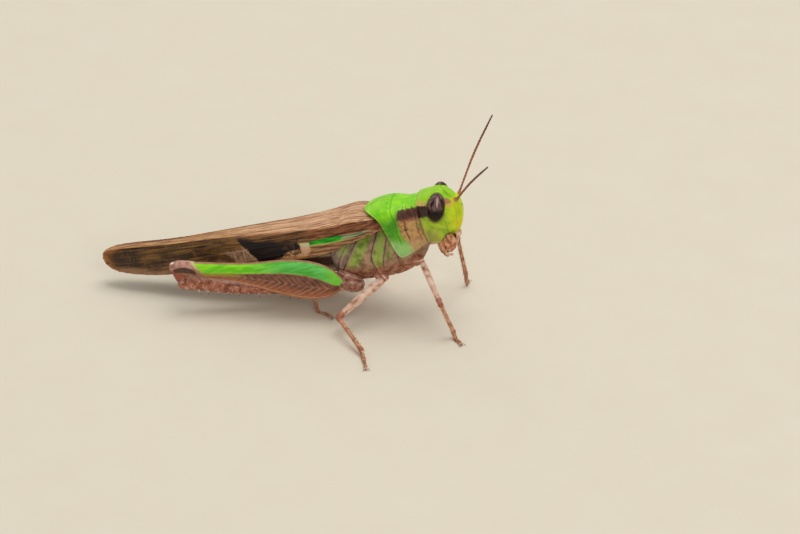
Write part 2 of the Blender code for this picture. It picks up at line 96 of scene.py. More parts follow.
def fall(values, low, high):
    return 1.0 - rise(values, low, high)


def hump(values, width):
    return np.exp(-((np.asarray(values, float) / width) ** 2))


def unit(vectors):
    return vectors / np.maximum(np.linalg.norm(vectors, axis=-1, keepdims=True), 1e-9)


def squareTo(axis, way):
    # The way at unit length, without its share along the axis.
    way = np.array(way)
    return unit(way - axis * (way @ axis))


def curve(points, count, closed=False):
    # Evenly counted places on a smooth curve through the points.
    points = np.asarray(points, float)
    total = len(points)
    at = np.linspace(0.0, total if closed else total - 1, count, endpoint=not closed)
    span = at.astype(int) if closed else np.minimum(at.astype(int), total - 2)

    def pick(shift):
        return points[(span + shift) % total if closed else np.clip(span + shift, 0, total - 1)]

    share = (at - span).reshape((-1,) + (1,) * (points.ndim - 1))
    before, first, second, after = pick(-1), pick(0), pick(1), pick(2)
    squared = (2.0 * before - 5.0 * first + 4.0 * second - after) * share**2
    cubed = (3.0 * first - before - 3.0 * second + after) * share**3
    return 0.5 * (2.0 * first + (second - before) * share + squared + cubed)


def evenly(points, count):
    # The same distance apart along the curve.
    fine = curve(points, 40 * len(points))
    lengths = np.concatenate([[0.0], np.cumsum(np.linalg.norm(np.diff(fine, axis=0), axis=1))])
    at = np.linspace(0.0, lengths[-1], count)
    return np.stack([np.interp(at, lengths, column) for column in fine.T], axis=1)


def readTable(table, at, column=1):
    rows = curve(table, 12 * len(table))
    order = np.argsort(rows[:, 0])
    return np.interp(at, rows[order, 0], rows[order, column])


def bothSides(half):
    # A ring from the half of it at one side.
    return half + [(along, -side, up) for along, side, up in reversed(half) if side > 0.0]


def smoothed(rings, count, around):
    # A smooth surface over rings of places.
    return curve(curve(rings, count).swapaxes(0, 1), around, closed=True).swapaxes(0, 1)


def raised(grid, heights, closed=True):
    # Rows of places, lifted out of the surface that they make.
    if closed:
        crosswise = np.roll(grid, -1, axis=1) - np.roll(grid, 1, axis=1)
    else:
        crosswise = np.gradient(grid, axis=1)
    outward = unit(np.cross(crosswise, np.gradient(grid, axis=0)))
    if (outward * (grid - grid.mean(axis=1, keepdims=True))).sum() < 0.0:
        outward = -outward
    return grid + outward * heights[..., None]


def domed(grid, steps=4, bulge=1.0, last=True):
    # Rings with round ends.
    caps = []
    for ring, inner in ((grid[0], grid[1]), (grid[-1], grid[-2])):
        middle = ring.mean(axis=0)
        away = ring - middle
        reach = unit(middle - inner.mean(axis=0)) * (bulge * np.linalg.norm(away, axis=1).min())
        turns = np.linspace(0.0, math.pi / 2.0, steps + 1)[1:]
        caps.append([middle + away * math.cos(turn) + reach * math.sin(turn) for turn in turns])
    return np.concatenate([caps[0][::-1], grid] + ([caps[1]] if last else []))


def oval(count, power=2.0, keels=0, keelSize=0.0):
    turn = np.linspace(0.0, 2.0 * math.pi, count, endpoint=False)
    swell = 1.0 + keelSize * np.cos(keels * turn)
    parts = [np.sign(part) * np.abs(part) ** (2.0 / power) for part in (np.cos(turn), np.sin(turn))]
    return np.stack(parts, axis=1) * swell[:, None]


def limbGrid(path, widths, heights, section, hint=(0.0, 0.0, 1.0)):
    # Rings of a section round a path.
    ahead = np.gradient(path, axis=0)
    across = unit(np.cross(ahead, hint))
    upward = unit(np.cross(across, ahead))
    sideways = across[:, None, :] * (section[:, :1] * widths[:, None, None] / 2.0)
    rising = upward[:, None, :] * (section[:, 1:] * heights[:, None, None] / 2.0)
    return path[:, None, :] + sideways + rising


def newMesh(*measures):
    mesh = bmesh.new()
    mesh.loops.layers.uv.new("Place")
    for measure in measures:
        mesh.verts.layers.float.new(measure)
    return mesh


def layGrid(mesh, grid, closed=True, **measures):
    # A grid of faces whose corners go to the given rows of places, joined where the rows close.
    def joined(values):
        return np.concatenate([values, values[:, :1]], axis=1) if closed else values

    places = joined(grid)
    rows, columns = places.shape[:2]
    made = bmesh.ops.create_grid(
        mesh, x_segments=columns - 1, y_segments=rows - 1, size=1.0, calc_uvs=True
    )["verts"]
    for corner, place in zip(made, places.reshape(-1, 3)):
        corner.co = place
    for name, values in measures.items():
        layer = mesh.verts.layers.float[name]
        values = joined(np.broadcast_to(values, grid.shape[:2]))
        for corner, value in zip(made, values.reshape(-1)):
            corner[layer] = float(value)
    if closed:
        bmesh.ops.remove_doubles(mesh, verts=made, dist=1e-5)


def layRings(mesh, grid, steps=4, bulge=1.0, last=True, **measures):
    # The same with round ends, over which the measures carry on.
    for name, values in measures.items():
        values = np.broadcast_to(values, grid.shape[:2])
        measures[name] = np.concatenate([values[:1]] * steps + [values] + [values[-1:]] * steps)
    grid = domed(grid, steps, bulge, last)
    layGrid(mesh, grid, **measures)
    return grid


def laySheet(mesh, grid, way, **measures):
    # The same for an open sheet. Its outer face is the one furthest that way.
    layGrid(mesh, grid, closed=False, **measures)
    bmesh.ops.recalc_face_normals(mesh, faces=mesh.faces)
    outermost = max(mesh.faces, key=lambda face: face.calc_center_median().dot(way))
    if outermost.normal.dot(way) < 0.0:
        bmesh.ops.reverse_faces(mesh, faces=mesh.faces)


def addBall(mesh, columns, rows, placed):
    # A ball whose corners, 1 from its middle, go where the function places them.
    made = bmesh.ops.create_uvsphere(
        mesh, u_segments=columns, v_segments=rows, radius=1.0, calc_uvs=True
    )["verts"]
    for corner, place in zip(made, placed(np.array([corner.co for corner in made]))):
        corner.co = place
    return made


def spikeGrid(root, tip, bend, width, around=6, steps=5):
    # A thin curved point: a spine, claw or hair.
    root, tip, bend = (np.asarray(item, float) for item in (root, tip, bend))
    share = np.linspace(0.0, 1.0, steps)[:, None]
    path = root + (tip - root) * share + bend * np.sin(math.pi * share)
    sizes = width * (1.0 - share[:, 0]) ** 0.7
    steep = abs(tip[2] - root[2]) >= 0.8 * np.linalg.norm(tip - root)
    return limbGrid(path, sizes, sizes, oval(around), (1.0, 0.0, 0.0) if steep else (0.0, 0.0, 1.0))


def show(name, data):
    made = bpy.data.objects.new(name, data)
    bpy.context.scene.collection.objects.link(made)
    return made


def finishPiece(name, mesh, look, nodes=(), creases=None, sheet=False):
    # The mesh becomes a piece in metres that rides on the body and stands for its solids.
    if not sheet:
        openEdges = [edge for edge in mesh.edges if edge.is_boundary]
        bmesh.ops.holes_fill(mesh, edges=openEdges, sides=0)
        bmesh.ops.recalc_face_normals(mesh, faces=mesh.faces)
    bmesh.ops.scale(mesh, vec=(1.0 / metre,) * 3, verts=mesh.verts)
    data = bpy.data.meshes.new(name)
    mesh.to_mesh(data)
    mesh.free()
    data.shade_smooth()
    if creases:
        data.set_sharp_from_angle(angle=math.radians(creases))
    data.materials.append(look)
    made = show(name, data)
    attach(made, "root")
    if nodes:
        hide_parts(*nodes)
    return made


# Materials

def tint(text):
    # The colour that a screen shows for six hexadecimal digits, for the shader.
    parts = [int(text[at : at + 2], 16) / 255.0 for at in (0, 2, 4)]
    parts = [p / 12.92 if p < 0.04045 else ((p + 0.055) / 1.055) ** 2.4 for p in parts]
    return (*parts, 1.0)


class Wire:
    # A value or colour on its way through a material: what is done with it adds nodes.
    def __init__(self, look, socket):
        self.look = look
        self.socket = socket

    def sum(self, operation, first, second):
        return self.look.node("ShaderNodeMath", {"operation": operation}, {0: first, 1: second})

    def __add__(self, other):
        return self.sum("ADD", self, other)

    def __sub__(self, other):
        return self.sum("SUBTRACT", self, other)

    def __rsub__(self, other):
        return self.sum("SUBTRACT", other, self)

    def __mul__(self, other):
        return self.sum("MULTIPLY", self, other)

    __radd__ = __add__
    __rmul__ = __mul__

    def __abs__(self):
        return self.sum("ABSOLUTE", self, 0.0)

    def rise(self, low, high):
        # 0 below the low value and 1 above the high one.
        settings = {"interpolation_type": "SMOOTHSTEP", "clamp": True}
        return self.look.node("ShaderNodeMapRange", settings, {0: self, 1: low, 2: high})

    def fall(self, low, high):
        return 1.0 - self.rise(low, high)

    def within(self, low, high, soft):
        return self.rise(low - soft, low + soft) * self.fall(high - soft, high + soft)

    def line(self, centre, width):
        return abs(self - centre).fall(0.3 * width, width)

    def lean(self, first, second):
        # From the first value at 0 to the second at 1.
        return self * (second - first) + first

    def between(self, first, second):
        # The same for colours.
        settings = {"data_type": "RGBA", "clamp_factor": True}
        return self.look.node("ShaderNodeMix", settings, {0: self, 6: first, 7: second}, 2)

    def tones(self, low, high, first, second):
        # The first colour below the low value and the second above the high one.
        return self.rise(low, high).between(first, second)

    def coat(self, share, paint):
        # This colour with a share of paint over it.
        return share.between(self, paint)


class Look:
    # One material, and the few ways its nodes are added.
    def __init__(self, name):
        self.material = bpy.data.materials.new(name)
        self.material.use_nodes = True
        self.tree = self.material.node_tree
        self.shader = self.tree.nodes["Principled BSDF"]
        self.colour = None

    def feed(self, socket, value):
        if isinstance(value, Wire):
            self.tree.links.new(value.socket, socket)
        else:
            socket.default_value = tint(value) if isinstance(value, str) else value

    def node(self, kind, settings=None, values=None, output=0):
        made = self.tree.nodes.new(kind)
        for key, value in (settings or {}).items():
            setattr(made, key, value)
        for key, value in (values or {}).items():
            self.feed(made.inputs[key], value)
        return Wire(self, made.outputs[output])

    def coat(self, share, paint):
        self.colour = share.between(self.colour, paint)

    def measure(self, name):
        return self.node("ShaderNodeAttribute", {"attribute_name": name}, output=2)

    def vector(self, first, second, third):
        return self.node("ShaderNodeCombineXYZ", None, {0: first, 1: second, 2: third})

    def split(self, seen):
        made = self.node("ShaderNodeSeparateXYZ", None, {0: seen}).socket.node
        return [Wire(self, output) for output in made.outputs]

    def places(self):
        # Along, to the side and up on the body in millimetres, and all three together.
        seen = self.split(self.node("ShaderNodeTexCoord", output=3))
        forward, side, up = (value * metre for value in seen)
        forward = forward - hips[0]
        up = up - hips[1]
        along = forward * leanCos + up * leanSin
        up = up * leanCos - forward * leanSin
        return along, side, up, self.vector(along, side, up)

    def lengthwise(self):
        # The lengthwise share from the piece's own map.
        return self.split(self.node("ShaderNodeUVMap", {"uv_map": "Place"}))[1]

    def noise(self, vector, scale, detail=3.0, roughness=0.55):
        values = {"Vector": vector, "Scale": scale, "Detail": detail, "Roughness": roughness}
        return self.node("ShaderNodeTexNoise", None, values)

    def cells(self, vector, scale, feature="F1", spread=1.0):
        values = {"Vector": vector, "Scale": scale, "Randomness": spread}
        return self.node("ShaderNodeTexVoronoi", {"feature": feature}, values)

    def finish(self, roughness, height=None, depth=0.02, shine=0.42, **constants):
        # Depth is the height of the fine relief, in millimetres.
        self.feed(self.shader.inputs["Base Color"], self.colour)
        self.feed(self.shader.inputs["Roughness"], roughness)
        constants["Specular_IOR_Level"] = shine
        for name, value in constants.items():
            self.shader.inputs[name.replace("_", " ")].default_value = value
        if height is not None:
            values = {"Strength": 1.0, "Distance": depth / metre, "Height": height}
            self.feed(self.shader.inputs["Normal"], self.node("ShaderNodeBump", None, values))
        return self.material


# Head

head = {
    "eyeCentre": (8.84, 1.13, 2.98),
    "eyeSize": (0.72, 0.74, 1.18),
    "eyeLean": (19.0, 10.0),
    "eyeGrid": (96, 64),
    "feelerSocket": (10.5, 0.52, 3.04),
    "rings": 96,
    "around": 160,
    "keelHeight": 0.05,
    "rimHeight": 0.045,
    # The three simple eyes: place and size.
    "simpleEyes": [((10.72, 0.0, 2.32), 0.075), ((10.06, 0.34, 3.62), 0.06), ((10.06, -0.34, 3.62), 0.06)],
    # Level, ridge front, cheek front, rear, half width in front and at the side, cheek lift.
    "levels": [
        (-0.32, 9.1, 9.0, 7.56, 0.75, 1.15, 0.35), (0.02, 9.75, 9.45, 7.3, 1.05, 1.36, 0.55),
        (0.45, 10.2, 9.92, 7.08, 1.2, 1.45, 0.35), (1.0, 10.42, 10.08, 6.92, 1.22, 1.5, 0.12),
        (1.7, 10.62, 10.22, 6.86, 1.2, 1.52, 0.0), (2.4, 10.7, 10.28, 6.86, 1.08, 1.5, 0.0),
        (3.0, 10.58, 10.18, 6.86, 0.92, 1.46, 0.0), (3.3, 10.38, 10.04, 6.9, 0.74, 1.38, 0.0),
        (3.58, 10.2, 10.0, 7.12, 0.5, 1.2, 0.0), (3.84, 9.98, 9.86, 7.42, 0.44, 0.92, 0.0),
        (4.06, 9.76, 9.68, 8.2, 0.38, 0.6, 0.0), (4.24, 9.56, 9.5, 8.9, 0.2, 0.3, 0.0),
    ],
    # Up, half width of the frontal ridge, and side place of the outer face ridges.
    "faceRidges": [
        (-0.4, 0.4, 1.02), (0.6, 0.34, 1.1), (1.6, 0.3, 1.02), (2.4, 0.33, 0.9),
        (2.9, 0.27, 0.84), (3.3, 0.24, 0.8), (3.8, 0.2, 0.7),
    ],
}


def headRing(level, ridge, cheek, rear, front, side, lift):
    middle = 0.5 * (cheek + rear)
    return bothSides([
        (ridge, 0.0, level),
        (ridge - 0.03, 0.62 * min(front, 0.5), level),
        (cheek, 0.95 * min(front, 0.5), level + 0.2 * lift),
        (cheek - 0.04, 0.8 * front, level + 0.8 * lift),
        (cheek - 0.22, front, level + lift),
        (0.5 * (cheek + middle), 0.5 * (front + side), level + 0.5 * lift),
        (middle, side, level),
        (rear + 0.25, 0.93 * side, level),
        (rear, 0.6 * side, level),
        (rear, 0.0, level),
    ])


def eyeTurn(side):
    lean = [math.radians(value) for value in head["eyeLean"]]
    tilted = Matrix.Rotation(lean[1] * side, 3, "X") @ Matrix.Rotation(lean[0], 3, "Y")
    return np.array(tilted)


def eyeDistance(places, side):
    # 1 on the eye's surface, more outside it.
    away = places - mirrored(head["eyeCentre"], side)
    return np.linalg.norm((away @ eyeTurn(side)) / np.array(head["eyeSize"]), axis=-1)


def socketDistance(places, side):
    return np.linalg.norm(places - mirrored(head["feelerSocket"], side), axis=-1)


def cheekSeam(along, side, up, width):
    seamAt = 9.3 - 0.05 * (up - 1.9)
    return hump(along - seamAt, width) * rise(np.abs(side), 0.9, 1.1) * fall(up, 1.7, 2.0)


def headRelief(grid):
    # Ridges of the face, the sunken crown, cheek seams and the rims round the eyes.
    along, side, up = np.moveaxis(grid, -1, 0)
    width = np.abs(side)
    facing = rise(along, 9.75, 10.1)
    ridgeAt = readTable(head["faceRidges"], up, 1)
    outerAt = readTable(head["faceRidges"], up, 2)
    high = head["keelHeight"]
    relief = high * hump(width - ridgeAt, 0.07) * facing * fall(up, 3.0, 3.4)
    hollow = hump(width, 0.6 * ridgeAt + 0.02) * facing * rise(up, 0.5, 1.2) * fall(up, 3.0, 3.5)
    relief -= 0.8 * high * hollow
    relief += 0.8 * high * hump(width - outerAt, 0.07) * rise(along, 9.3, 9.8) * fall(up, 2.3, 2.9)
    crown = rise(up, 3.66, 3.9) * rise(along, 8.9, 9.3)
    relief += (0.014 * hump(width - 0.38, 0.09) - 0.03 * hump(width, 0.24)) * crown
    relief -= 0.05 * cheekSeam(along, side, up, 0.045)
    relief -= 0.015 * hump(along - 7.8, 0.06) * rise(width, 0.3, 0.6)
    relief -= 0.05 * hump(up - 0.12, 0.05) * facing * fall(width, 0.8, 0.95)
    for sign in (-1.0, 1.0):
        relief += head["rimHeight"] * hump(eyeDistance(grid, sign) - 1.1, 0.07)
        reach = socketDistance(grid, sign)
        relief += 0.04 * hump(reach - 0.27, 0.05) - 0.08 * hump(reach, 0.16)
    return relief


def headLook():
    look = Look("headShell")
    along, side, up, skin = look.places()
    width = abs(side)
    mottle = look.noise(skin, 1.6, 4.0)
    grain = look.noise(skin, 14.0)
    ragged = look.noise(look.vector(along * 5.0, side, up * 1.5), 1.6) - 0.5
    face = mottle.tones(0.35, 0.65, "b2d406", "d4e412")
    face = face.coat(along.rise(9.7, 10.2) * up.fall(0.6, 2.0) * 0.75, "e8d60a")
    dull = along.fall(8.1, 9.1) * up.fall(0.4, 1.8)
    cheek = mottle.tones(0.38, 0.62, "8eb214", "b6d420")
    cheek = cheek.coat(dull * 0.75, mottle.between("968a3c", "b0a858"))
    look.colour = cheek.coat(along.rise(9.35, 9.9), face)
    look.coat((up + grain * 0.15).rise(3.2, 3.5), mottle.between("80c406", "b0e810"))
    # Rear and lower margins, then the dark band behind the eye and the pale one above it.
    look.coat(along.fall(7.5, 7.62) * up.fall(2.0, 2.4) * 0.7, "cec478")
    look.coat(up.fall(-0.25, 0.1) * along.fall(9.0, 9.6) * 0.7, "cebc68")
    bandTop = 3.34 + ragged * 0.24 - (along - 8.0) * 0.1
    pale = (up - ragged * 0.5).within(bandTop - 0.05, bandTop + 0.3, 0.07)
    pale = pale * along.within(7.3, 8.25, 0.12) * width.rise(0.6, 0.8)
    look.coat(pale * 0.8, grain.between("c49646", "eebe80"))
    band = up.rise(2.26 + ragged * 0.4, 2.48 + ragged * 0.4)
    band = band * up.fall(bandTop - 0.04, bandTop + 0.06)
    band = band * along.fall(9.1, 9.5) * width.rise(0.75, 0.95)
    look.coat(band, grain.between("220908", "421b16"))
    # Round the eye and the root of the feeler.
    eyeFoot = look.measure("eyeFoot")
    look.coat(eyeFoot * up.fall(2.3, 2.6) * 0.7, "562c1c")
    ahead = along.within(9.35, 10.15, 0.1) * (up + ragged * 0.3).within(3.02, 3.5, 0.1)
    ahead = ahead * width.rise(0.55, 0.75)
    look.coat(ahead * 0.85, grain.between("7a2822", "ce7860"))
    under = along.within(9.7, 10.3, 0.12) * up.within(2.72, 3.02, 0.1)
    look.coat(under * width.rise(0.5, 0.7) * 0.6, "e2a046")
    look.coat(eyeFoot * along.fall(8.4, 8.6) * up.within(2.5, 3.5, 0.15), "30100e")
    look.coat(look.measure("eyeEdge") * 0.9, up.tones(2.6, 3.3, "3c1a14", "704a28"))
    look.coat(look.measure("feelerRoot"), mottle.between("ba5c46", "e29e6e"))
    spot = up.line(3.36, 0.12) * along.line(10.3, 0.2) * width.line(0.62, 0.24)
    look.coat(spot * 0.8, "5c221a")
    look.coat(look.measure("seam") * 0.6, "70701e")
    dotted = look.cells(skin, 3.2, spread=0.9).fall(0.08, 0.14)
    look.coat(dotted * along.rise(9.9, 10.1) * up.within(1.5, 2.7, 0.2) * 0.55, "6e5414")
    return look.finish(0.36 + mottle * 0.16, look.cells(skin, 9.0) * 0.5 + grain, 0.018, 0.45)


def buildHead():
    rings = [headRing(*row) for row in head["levels"]]
    grid = smoothed(rings, head["rings"], head["around"])
    grid = raised(grid, headRelief(grid))
    crownMiddle = grid[-1].mean(axis=0) + (0.0, 0.0, 0.02)
    inner = crownMiddle + (grid[-1] - crownMiddle) * 0.5 + (0.0, 0.0, 0.01)
    grid = np.concatenate([grid, inner[None], np.repeat(crownMiddle[None, None], len(inner), 1)])
    along, side, up = np.moveaxis(grid, -1, 0)
    near = np.minimum(eyeDistance(grid, 1.0), eyeDistance(grid, -1.0))
    measures = {
        "eyeEdge": fall(near, 1.03, 1.1),
        "eyeFoot": fall(near, 1.1, 1.26),
        "feelerRoot": fall(np.minimum(socketDistance(grid, 1.0), socketDistance(grid, -1.0)), 0.2, 0.32),
        "seam": np.maximum(cheekSeam(along, side, up, 0.04), 0.25 * hump(along - 7.8, 0.05)),
    }
    mesh = newMesh(*measures)
    layGrid(mesh, onBody(grid), **measures)
    bmesh.ops.holes_fill(mesh, edges=[edge for edge in mesh.edges if edge.is_boundary], sides=0)
    for place, size in head["simpleEyes"]:
        for corner in addBall(mesh, 20, 12, lambda ball: onBody(place) + ball * size):
            corner[mesh.verts.layers.float["eyeEdge"]] = 0.5
    finishPiece("head_shell", mesh, headLook(), ["head"])


def eyeLook():
    look = Look("eyeGloss")
    along, side, up, skin = look.places()
    streaks = look.noise(look.vector(along * 4.2 - up * 0.5, side * 4.2, up * 0.4), 1.2, 2.0, 0.5)
    patch = look.noise(skin, 1.5, 2.0)
    # Painted highlight: the streaked upper part of the eye is lighter, as if lit from above, and the pale
    # line on it is a painted glint.
    edge = 2.86 + (streaks - 0.5) * 0.7 - (along - 8.9) * 0.25
    look.colour = patch.tones(0.35, 0.7, "0e0101", "280907")
    look.coat(up.rise(edge - 0.12, edge + 0.3), streaks.tones(0.4, 0.62, "2c1416", "866864"))
    paintedGlint = (along - (up - 3.6) * 0.25).line(9.2, 0.1) * up.within(3.3, 3.9, 0.15)
    look.coat(paintedGlint * 0.7, "debab2")
    look.coat(along.fall(8.25, 8.5) * 0.7, "281210")
    look.coat(look.cells(skin, 6.0).fall(0.12, 0.22) * up.fall(2.3, 2.6) * 0.6, "cea09c")
    facets = look.cells(skin, 24.0, "DISTANCE_TO_EDGE", 0.15).rise(0.0, 0.12)
    return look.finish(0.26 + patch * 0.12, facets, 0.004, 0.16, Coat_Weight=0.06, Coat_Roughness=0.12)


def buildEyes():
    look = eyeLook()
    for name, side in sides:
        mesh = newMesh()
        centre = mirrored(head["eyeCentre"], side)
        turned = eyeTurn(side).T
        addBall(mesh, *head["eyeGrid"], lambda ball: onBody(ball * head["eyeSize"] @ turned + centre))
        finishPiece("compound_eye_" + name, mesh, look, ["eye_" + name])


# Feelers

feelers = {
    "segments": 25,
    "ringsEach": 8,
    "around": 20,
    "width": 0.18,
    "firstSegment": 1.25,  # its thickness, in shares of that of the others
    "root": (10.56, 0.52, 3.08),
    "bristles": 70,
    "bristleLength": 0.07,
    # Share of the length, and of the width there.
    "taper": [(0.0, 1.25), (0.08, 0.95), (0.16, 0.92), (0.5, 1.08), (0.85, 0.9), (1.0, 0.66)],
    # Tips ahead of the fore feet, to the side and up.
    "tips": {"right": (2.5, -4.2, 16.5), "left": (1.7, 3.2, 17.3)},
}


def feelerLook(name, base, end):
    # Base and end: the darker colour of the feeler near its root and at its tip.
    look = Look(name)
    lengthwise = look.lengthwise()
    grain = look.noise(look.places()[3], 9.0)
    look.colour = grain.between(base, "b2704a")
    look.coat(lengthwise.rise(0.3, 1.0), grain.between(end, "683c28"))
    look.coat(lengthwise.fall(0.03, 0.07), "ce804c")
    look.coat(look.measure("joint") * 0.45, "c4946e")
    return look.finish(0.5 + grain * 0.15, grain, 0.008, 0.4)


def buildFeelers():
    # The right feeler, on the near side, gets darker colours than the left one: painted shade.
    looks = {
        "right": feelerLook("feelerShellPaintedShade", "542816", "32160e"),
        "left": feelerLook("feelerShell", "8c5034", "3a1c14"),
    }
    around = feelers["around"]
    count = feelers["segments"] * feelers["ringsEach"] + 1
    share = np.linspace(0.0, 1.0, count)
    place = share * feelers["segments"]
    waist = np.abs(place - np.floor(place) - 0.5) * 2.0
    body = np.interp(share, *np.array(feelers["taper"]).T)
    widths = feelers["width"] * body * (1.0 - 0.16 * waist**4)
    widths[: feelers["ringsEach"]] *= feelers["firstSegment"]
    for name, side in sides:
        root = onBody(mirrored(feelers["root"], side))
        tip = standing(feelers["tips"][name], 1.0)
        middle = 0.5 * (root + tip) + np.array((-0.12, 0.12 * side, 0.1))
        path = evenly([root, middle, tip], count)
        grid = limbGrid(path, widths, widths, oval(around))
        mesh = newMesh("joint")
        layRings(mesh, grid, joint=(waist**6)[:, None])
        chance = random.Random(11)
        for _ in range(feelers["bristles"]):
            at = chance.randrange(10, count - 2)
            turn = chance.uniform(0.0, 2.0 * math.pi)
            foot = grid[at, int(turn / (2.0 * math.pi) * around) % around]
            out = unit(foot - path[at])
            end = foot + out * feelers["bristleLength"] + (path[at + 1] - path[at]) * 1.2
            layGrid(mesh, spikeGrid(foot - out * 0.01, end, out * 0.004, 0.014, 4, 3))
        finishPiece("feeler_" + name, mesh, looks[name], ["antenna_" + name])


# Mouth

mouth = {
    "around": 72,
    "lipRings": 60,
    "jawRings": 26,
    "palpWidth": 0.2,
    "palpRingsEach": 8,
    # Up, front of the lip and its half width.
    "lip": [
        (0.06, 9.86, 0.46), (-0.1, 9.98, 0.62), (-0.34, 9.96, 0.7), (-0.6, 9.82, 0.74),
        (-1.1, 9.5, 0.7), (-1.5, 9.22, 0.56), (-1.76, 9.0, 0.3),
    ],
    # Mandible, maxilla, its hood and lower lip: route from hinge to tip, widths and depths.
    "jaws": [
        ([(9.16, 0.78, 0.1), (9.3, 0.84, -0.4), (9.18, 0.6, -1.1), (8.98, 0.2, -1.46)],
         (0.34, 0.46, 0.42, 0.2), (0.5, 0.72, 0.56, 0.24)),
        ([(8.84, 0.96, -0.2), (8.86, 0.98, -0.7), (8.84, 0.8, -1.2), (8.86, 0.42, -1.56)],
         (0.34, 0.4, 0.34, 0.16), (0.42, 0.44, 0.36, 0.18)),
        ([(8.46, 1.0, -0.36), (8.44, 1.02, -0.84), (8.5, 0.84, -1.28), (8.62, 0.5, -1.6)],
         (0.28, 0.34, 0.3, 0.14), (0.36, 0.38, 0.34, 0.18)),
        ([(8.12, 0.5, -0.42), (8.12, 0.5, -0.9), (8.2, 0.42, -1.4), (8.34, 0.26, -1.72)],
         (0.7, 0.8, 0.66, 0.3), (0.3, 0.34, 0.3, 0.16)),
    ],
    # Route, number of joints and share of the full width.
    "palps": [
        ([(8.5, 1.14, -0.74), (8.58, 1.3, -1.06), (8.78, 1.3, -1.4), (9.1, 1.06, -1.6)], 5, 1.0),
        ([(8.3, 0.62, -1.3), (8.36, 0.84, -1.62), (8.6, 0.78, -1.86)], 3, 0.86),
    ],
}


def mouthLook(name, base, pale, dark, darkBelow):
    look = Look(name)
    _, _, up, skin = look.places()
    mottle = look.noise(skin, 2.6, 4.0)
    grain = look.noise(skin, 16.0)
    look.colour = mottle.tones(0.36, 0.64, base, pale)
    look.coat((up + grain * 0.12).fall(darkBelow - 0.12, darkBelow + 0.16), dark)
    look.coat(look.measure("joint") * 0.55, "e8c4a0")
    return look.finish(0.34 + mottle * 0.2, grain, 0.012, 0.45)


def buildLip():
    rings = []
    for up, front, half in mouth["lip"]:
        outline = [(front, 0.0), (front - 0.03, 0.35 * half), (front - 0.1, 0.7 * half)]
        outline += [(front - 0.24, half), (front - 0.34, 0.85 * half), (front - 0.34, 0.0)]
        rings.append(bothSides([(along, side, up) for along, side in outline]))
    grid = smoothed(rings, mouth["lipRings"], mouth["around"])
    along, side, up = np.moveaxis(grid, -1, 0)
    front = rise(along, 9.0, 9.4) * (along > along.mean(axis=1, keepdims=True))
    relief = 0.03 * hump(up + 0.32, 0.12) - 0.06 * hump(up + 0.56, 0.05)
    relief -= 0.035 * hump(side, 0.06) * fall(up, -1.0, -0.7)
    grid = raised(grid, relief * front)
    grid[..., 2] += 0.16 * hump(side, 0.12) * fall(up, -1.72, -1.4)
    measure = np.maximum(hump(up + 0.56, 0.05), fall(up, -1.72, -1.6))
    mesh = newMesh("joint")
    layRings(mesh, onBody(grid), 3, 0.4, joint=measure)
    look = mouthLook("lipShell", "be7854", "ecc8aa", "965432", -1.62)
    finishPiece("clypeus_and_lip", mesh, look, ["upper_lip"])


def buildJaws():
    mesh = newMesh("joint")
    for side in (-1.0, 1.0):
        for route, wide, deep in mouth["jaws"]:
            path = onBody(evenly(mirrored(route, side), mouth["jawRings"]))
            at = np.linspace(0.0, len(wide) - 1.0, mouth["jawRings"])
            sizes = [np.interp(at, range(len(wide)), size) for size in (wide, deep)]
            layRings(mesh, limbGrid(path, *sizes, oval(28, 2.6), (1.0, 0.0, 0.0)))
    look = mouthLook("jawShell", "a85c3a", "ecb28a", "542214", -1.34)
    finishPiece("jaws_and_lower_lip", mesh, look, ["jaws"])


def buildPalps():
    look = mouthLook("palpShell", "c47c54", "e8ba96", "a05438", -2.4)
    for name, side in sides:
        mesh = newMesh("joint")
        for route, joints, share in mouth["palps"]:
            count = joints * mouth["palpRingsEach"] + 1
            path = onBody(evenly(mirrored(route, side), count))
            place = np.linspace(0.0, joints, count)
            waist = np.abs(place - np.floor(place) - 0.5) * 2.0
            swell = 0.82 + 0.18 * np.linspace(0.0, 1.0, count)
            widths = mouth["palpWidth"] * share * swell * (1.0 - 0.3 * waist**4)
            grid = domed(limbGrid(path, widths, widths, oval(18)), 4)
            layGrid(mesh, grid, joint=np.pad(waist**6, 4)[:, None])
        finishPiece("palps_" + name, mesh, look, ["palp_" + name])


print("head, eyes, feelers and mouth")
buildHead()
buildEyes()
buildFeelers()
buildLip()
buildJaws()
buildPalps()


# Pronotum

shell = {
    "front": 7.32,
    "thickness": 0.16,
    "rows": 110,
    "columns": 230,
    "crestHeight": 0.07,
    "grooveDepth": 0.07,
    "highest": 4.02,
    # Round the arch: share of the half width, share of the height, rear margin along the body.
    "arch": [
        (0.0, 0.0, 2.6), (0.36, 0.02, 2.8), (0.7, 0.07, 3.3), (0.9, 0.16, 3.85), (0.99, 0.3, 4.2),
        (1.0, 0.52, 4.42), (0.99, 0.76, 4.66), (0.95, 0.93, 4.85), (0.92, 1.0, 5.1),
    ],
    # Along the body: half width and crest height.
    "sizes": [
        (2.6, 1.9, 3.36), (3.2, 2.0, 3.62), (4.0, 2.12, 3.8), (4.9, 2.08, 3.84),
        (5.7, 1.86, 3.74), (6.3, 1.66, 3.64), (6.8, 1.64, 3.66), (7.32, 1.68, 3.7),
    ],
    "lower": [(0.0, -0.78), (0.35, -0.62), (0.7, -0.3), (1.0, 0.08)],
    # Cross grooves: along the body, from and up to which height, and share of the full depth.
    "grooves": [(7.02, 0.3, 3.5, 0.7), (6.05, 0.5, 3.4, 0.9), (5.3, 0.2, 9.0, 1.0)],
}


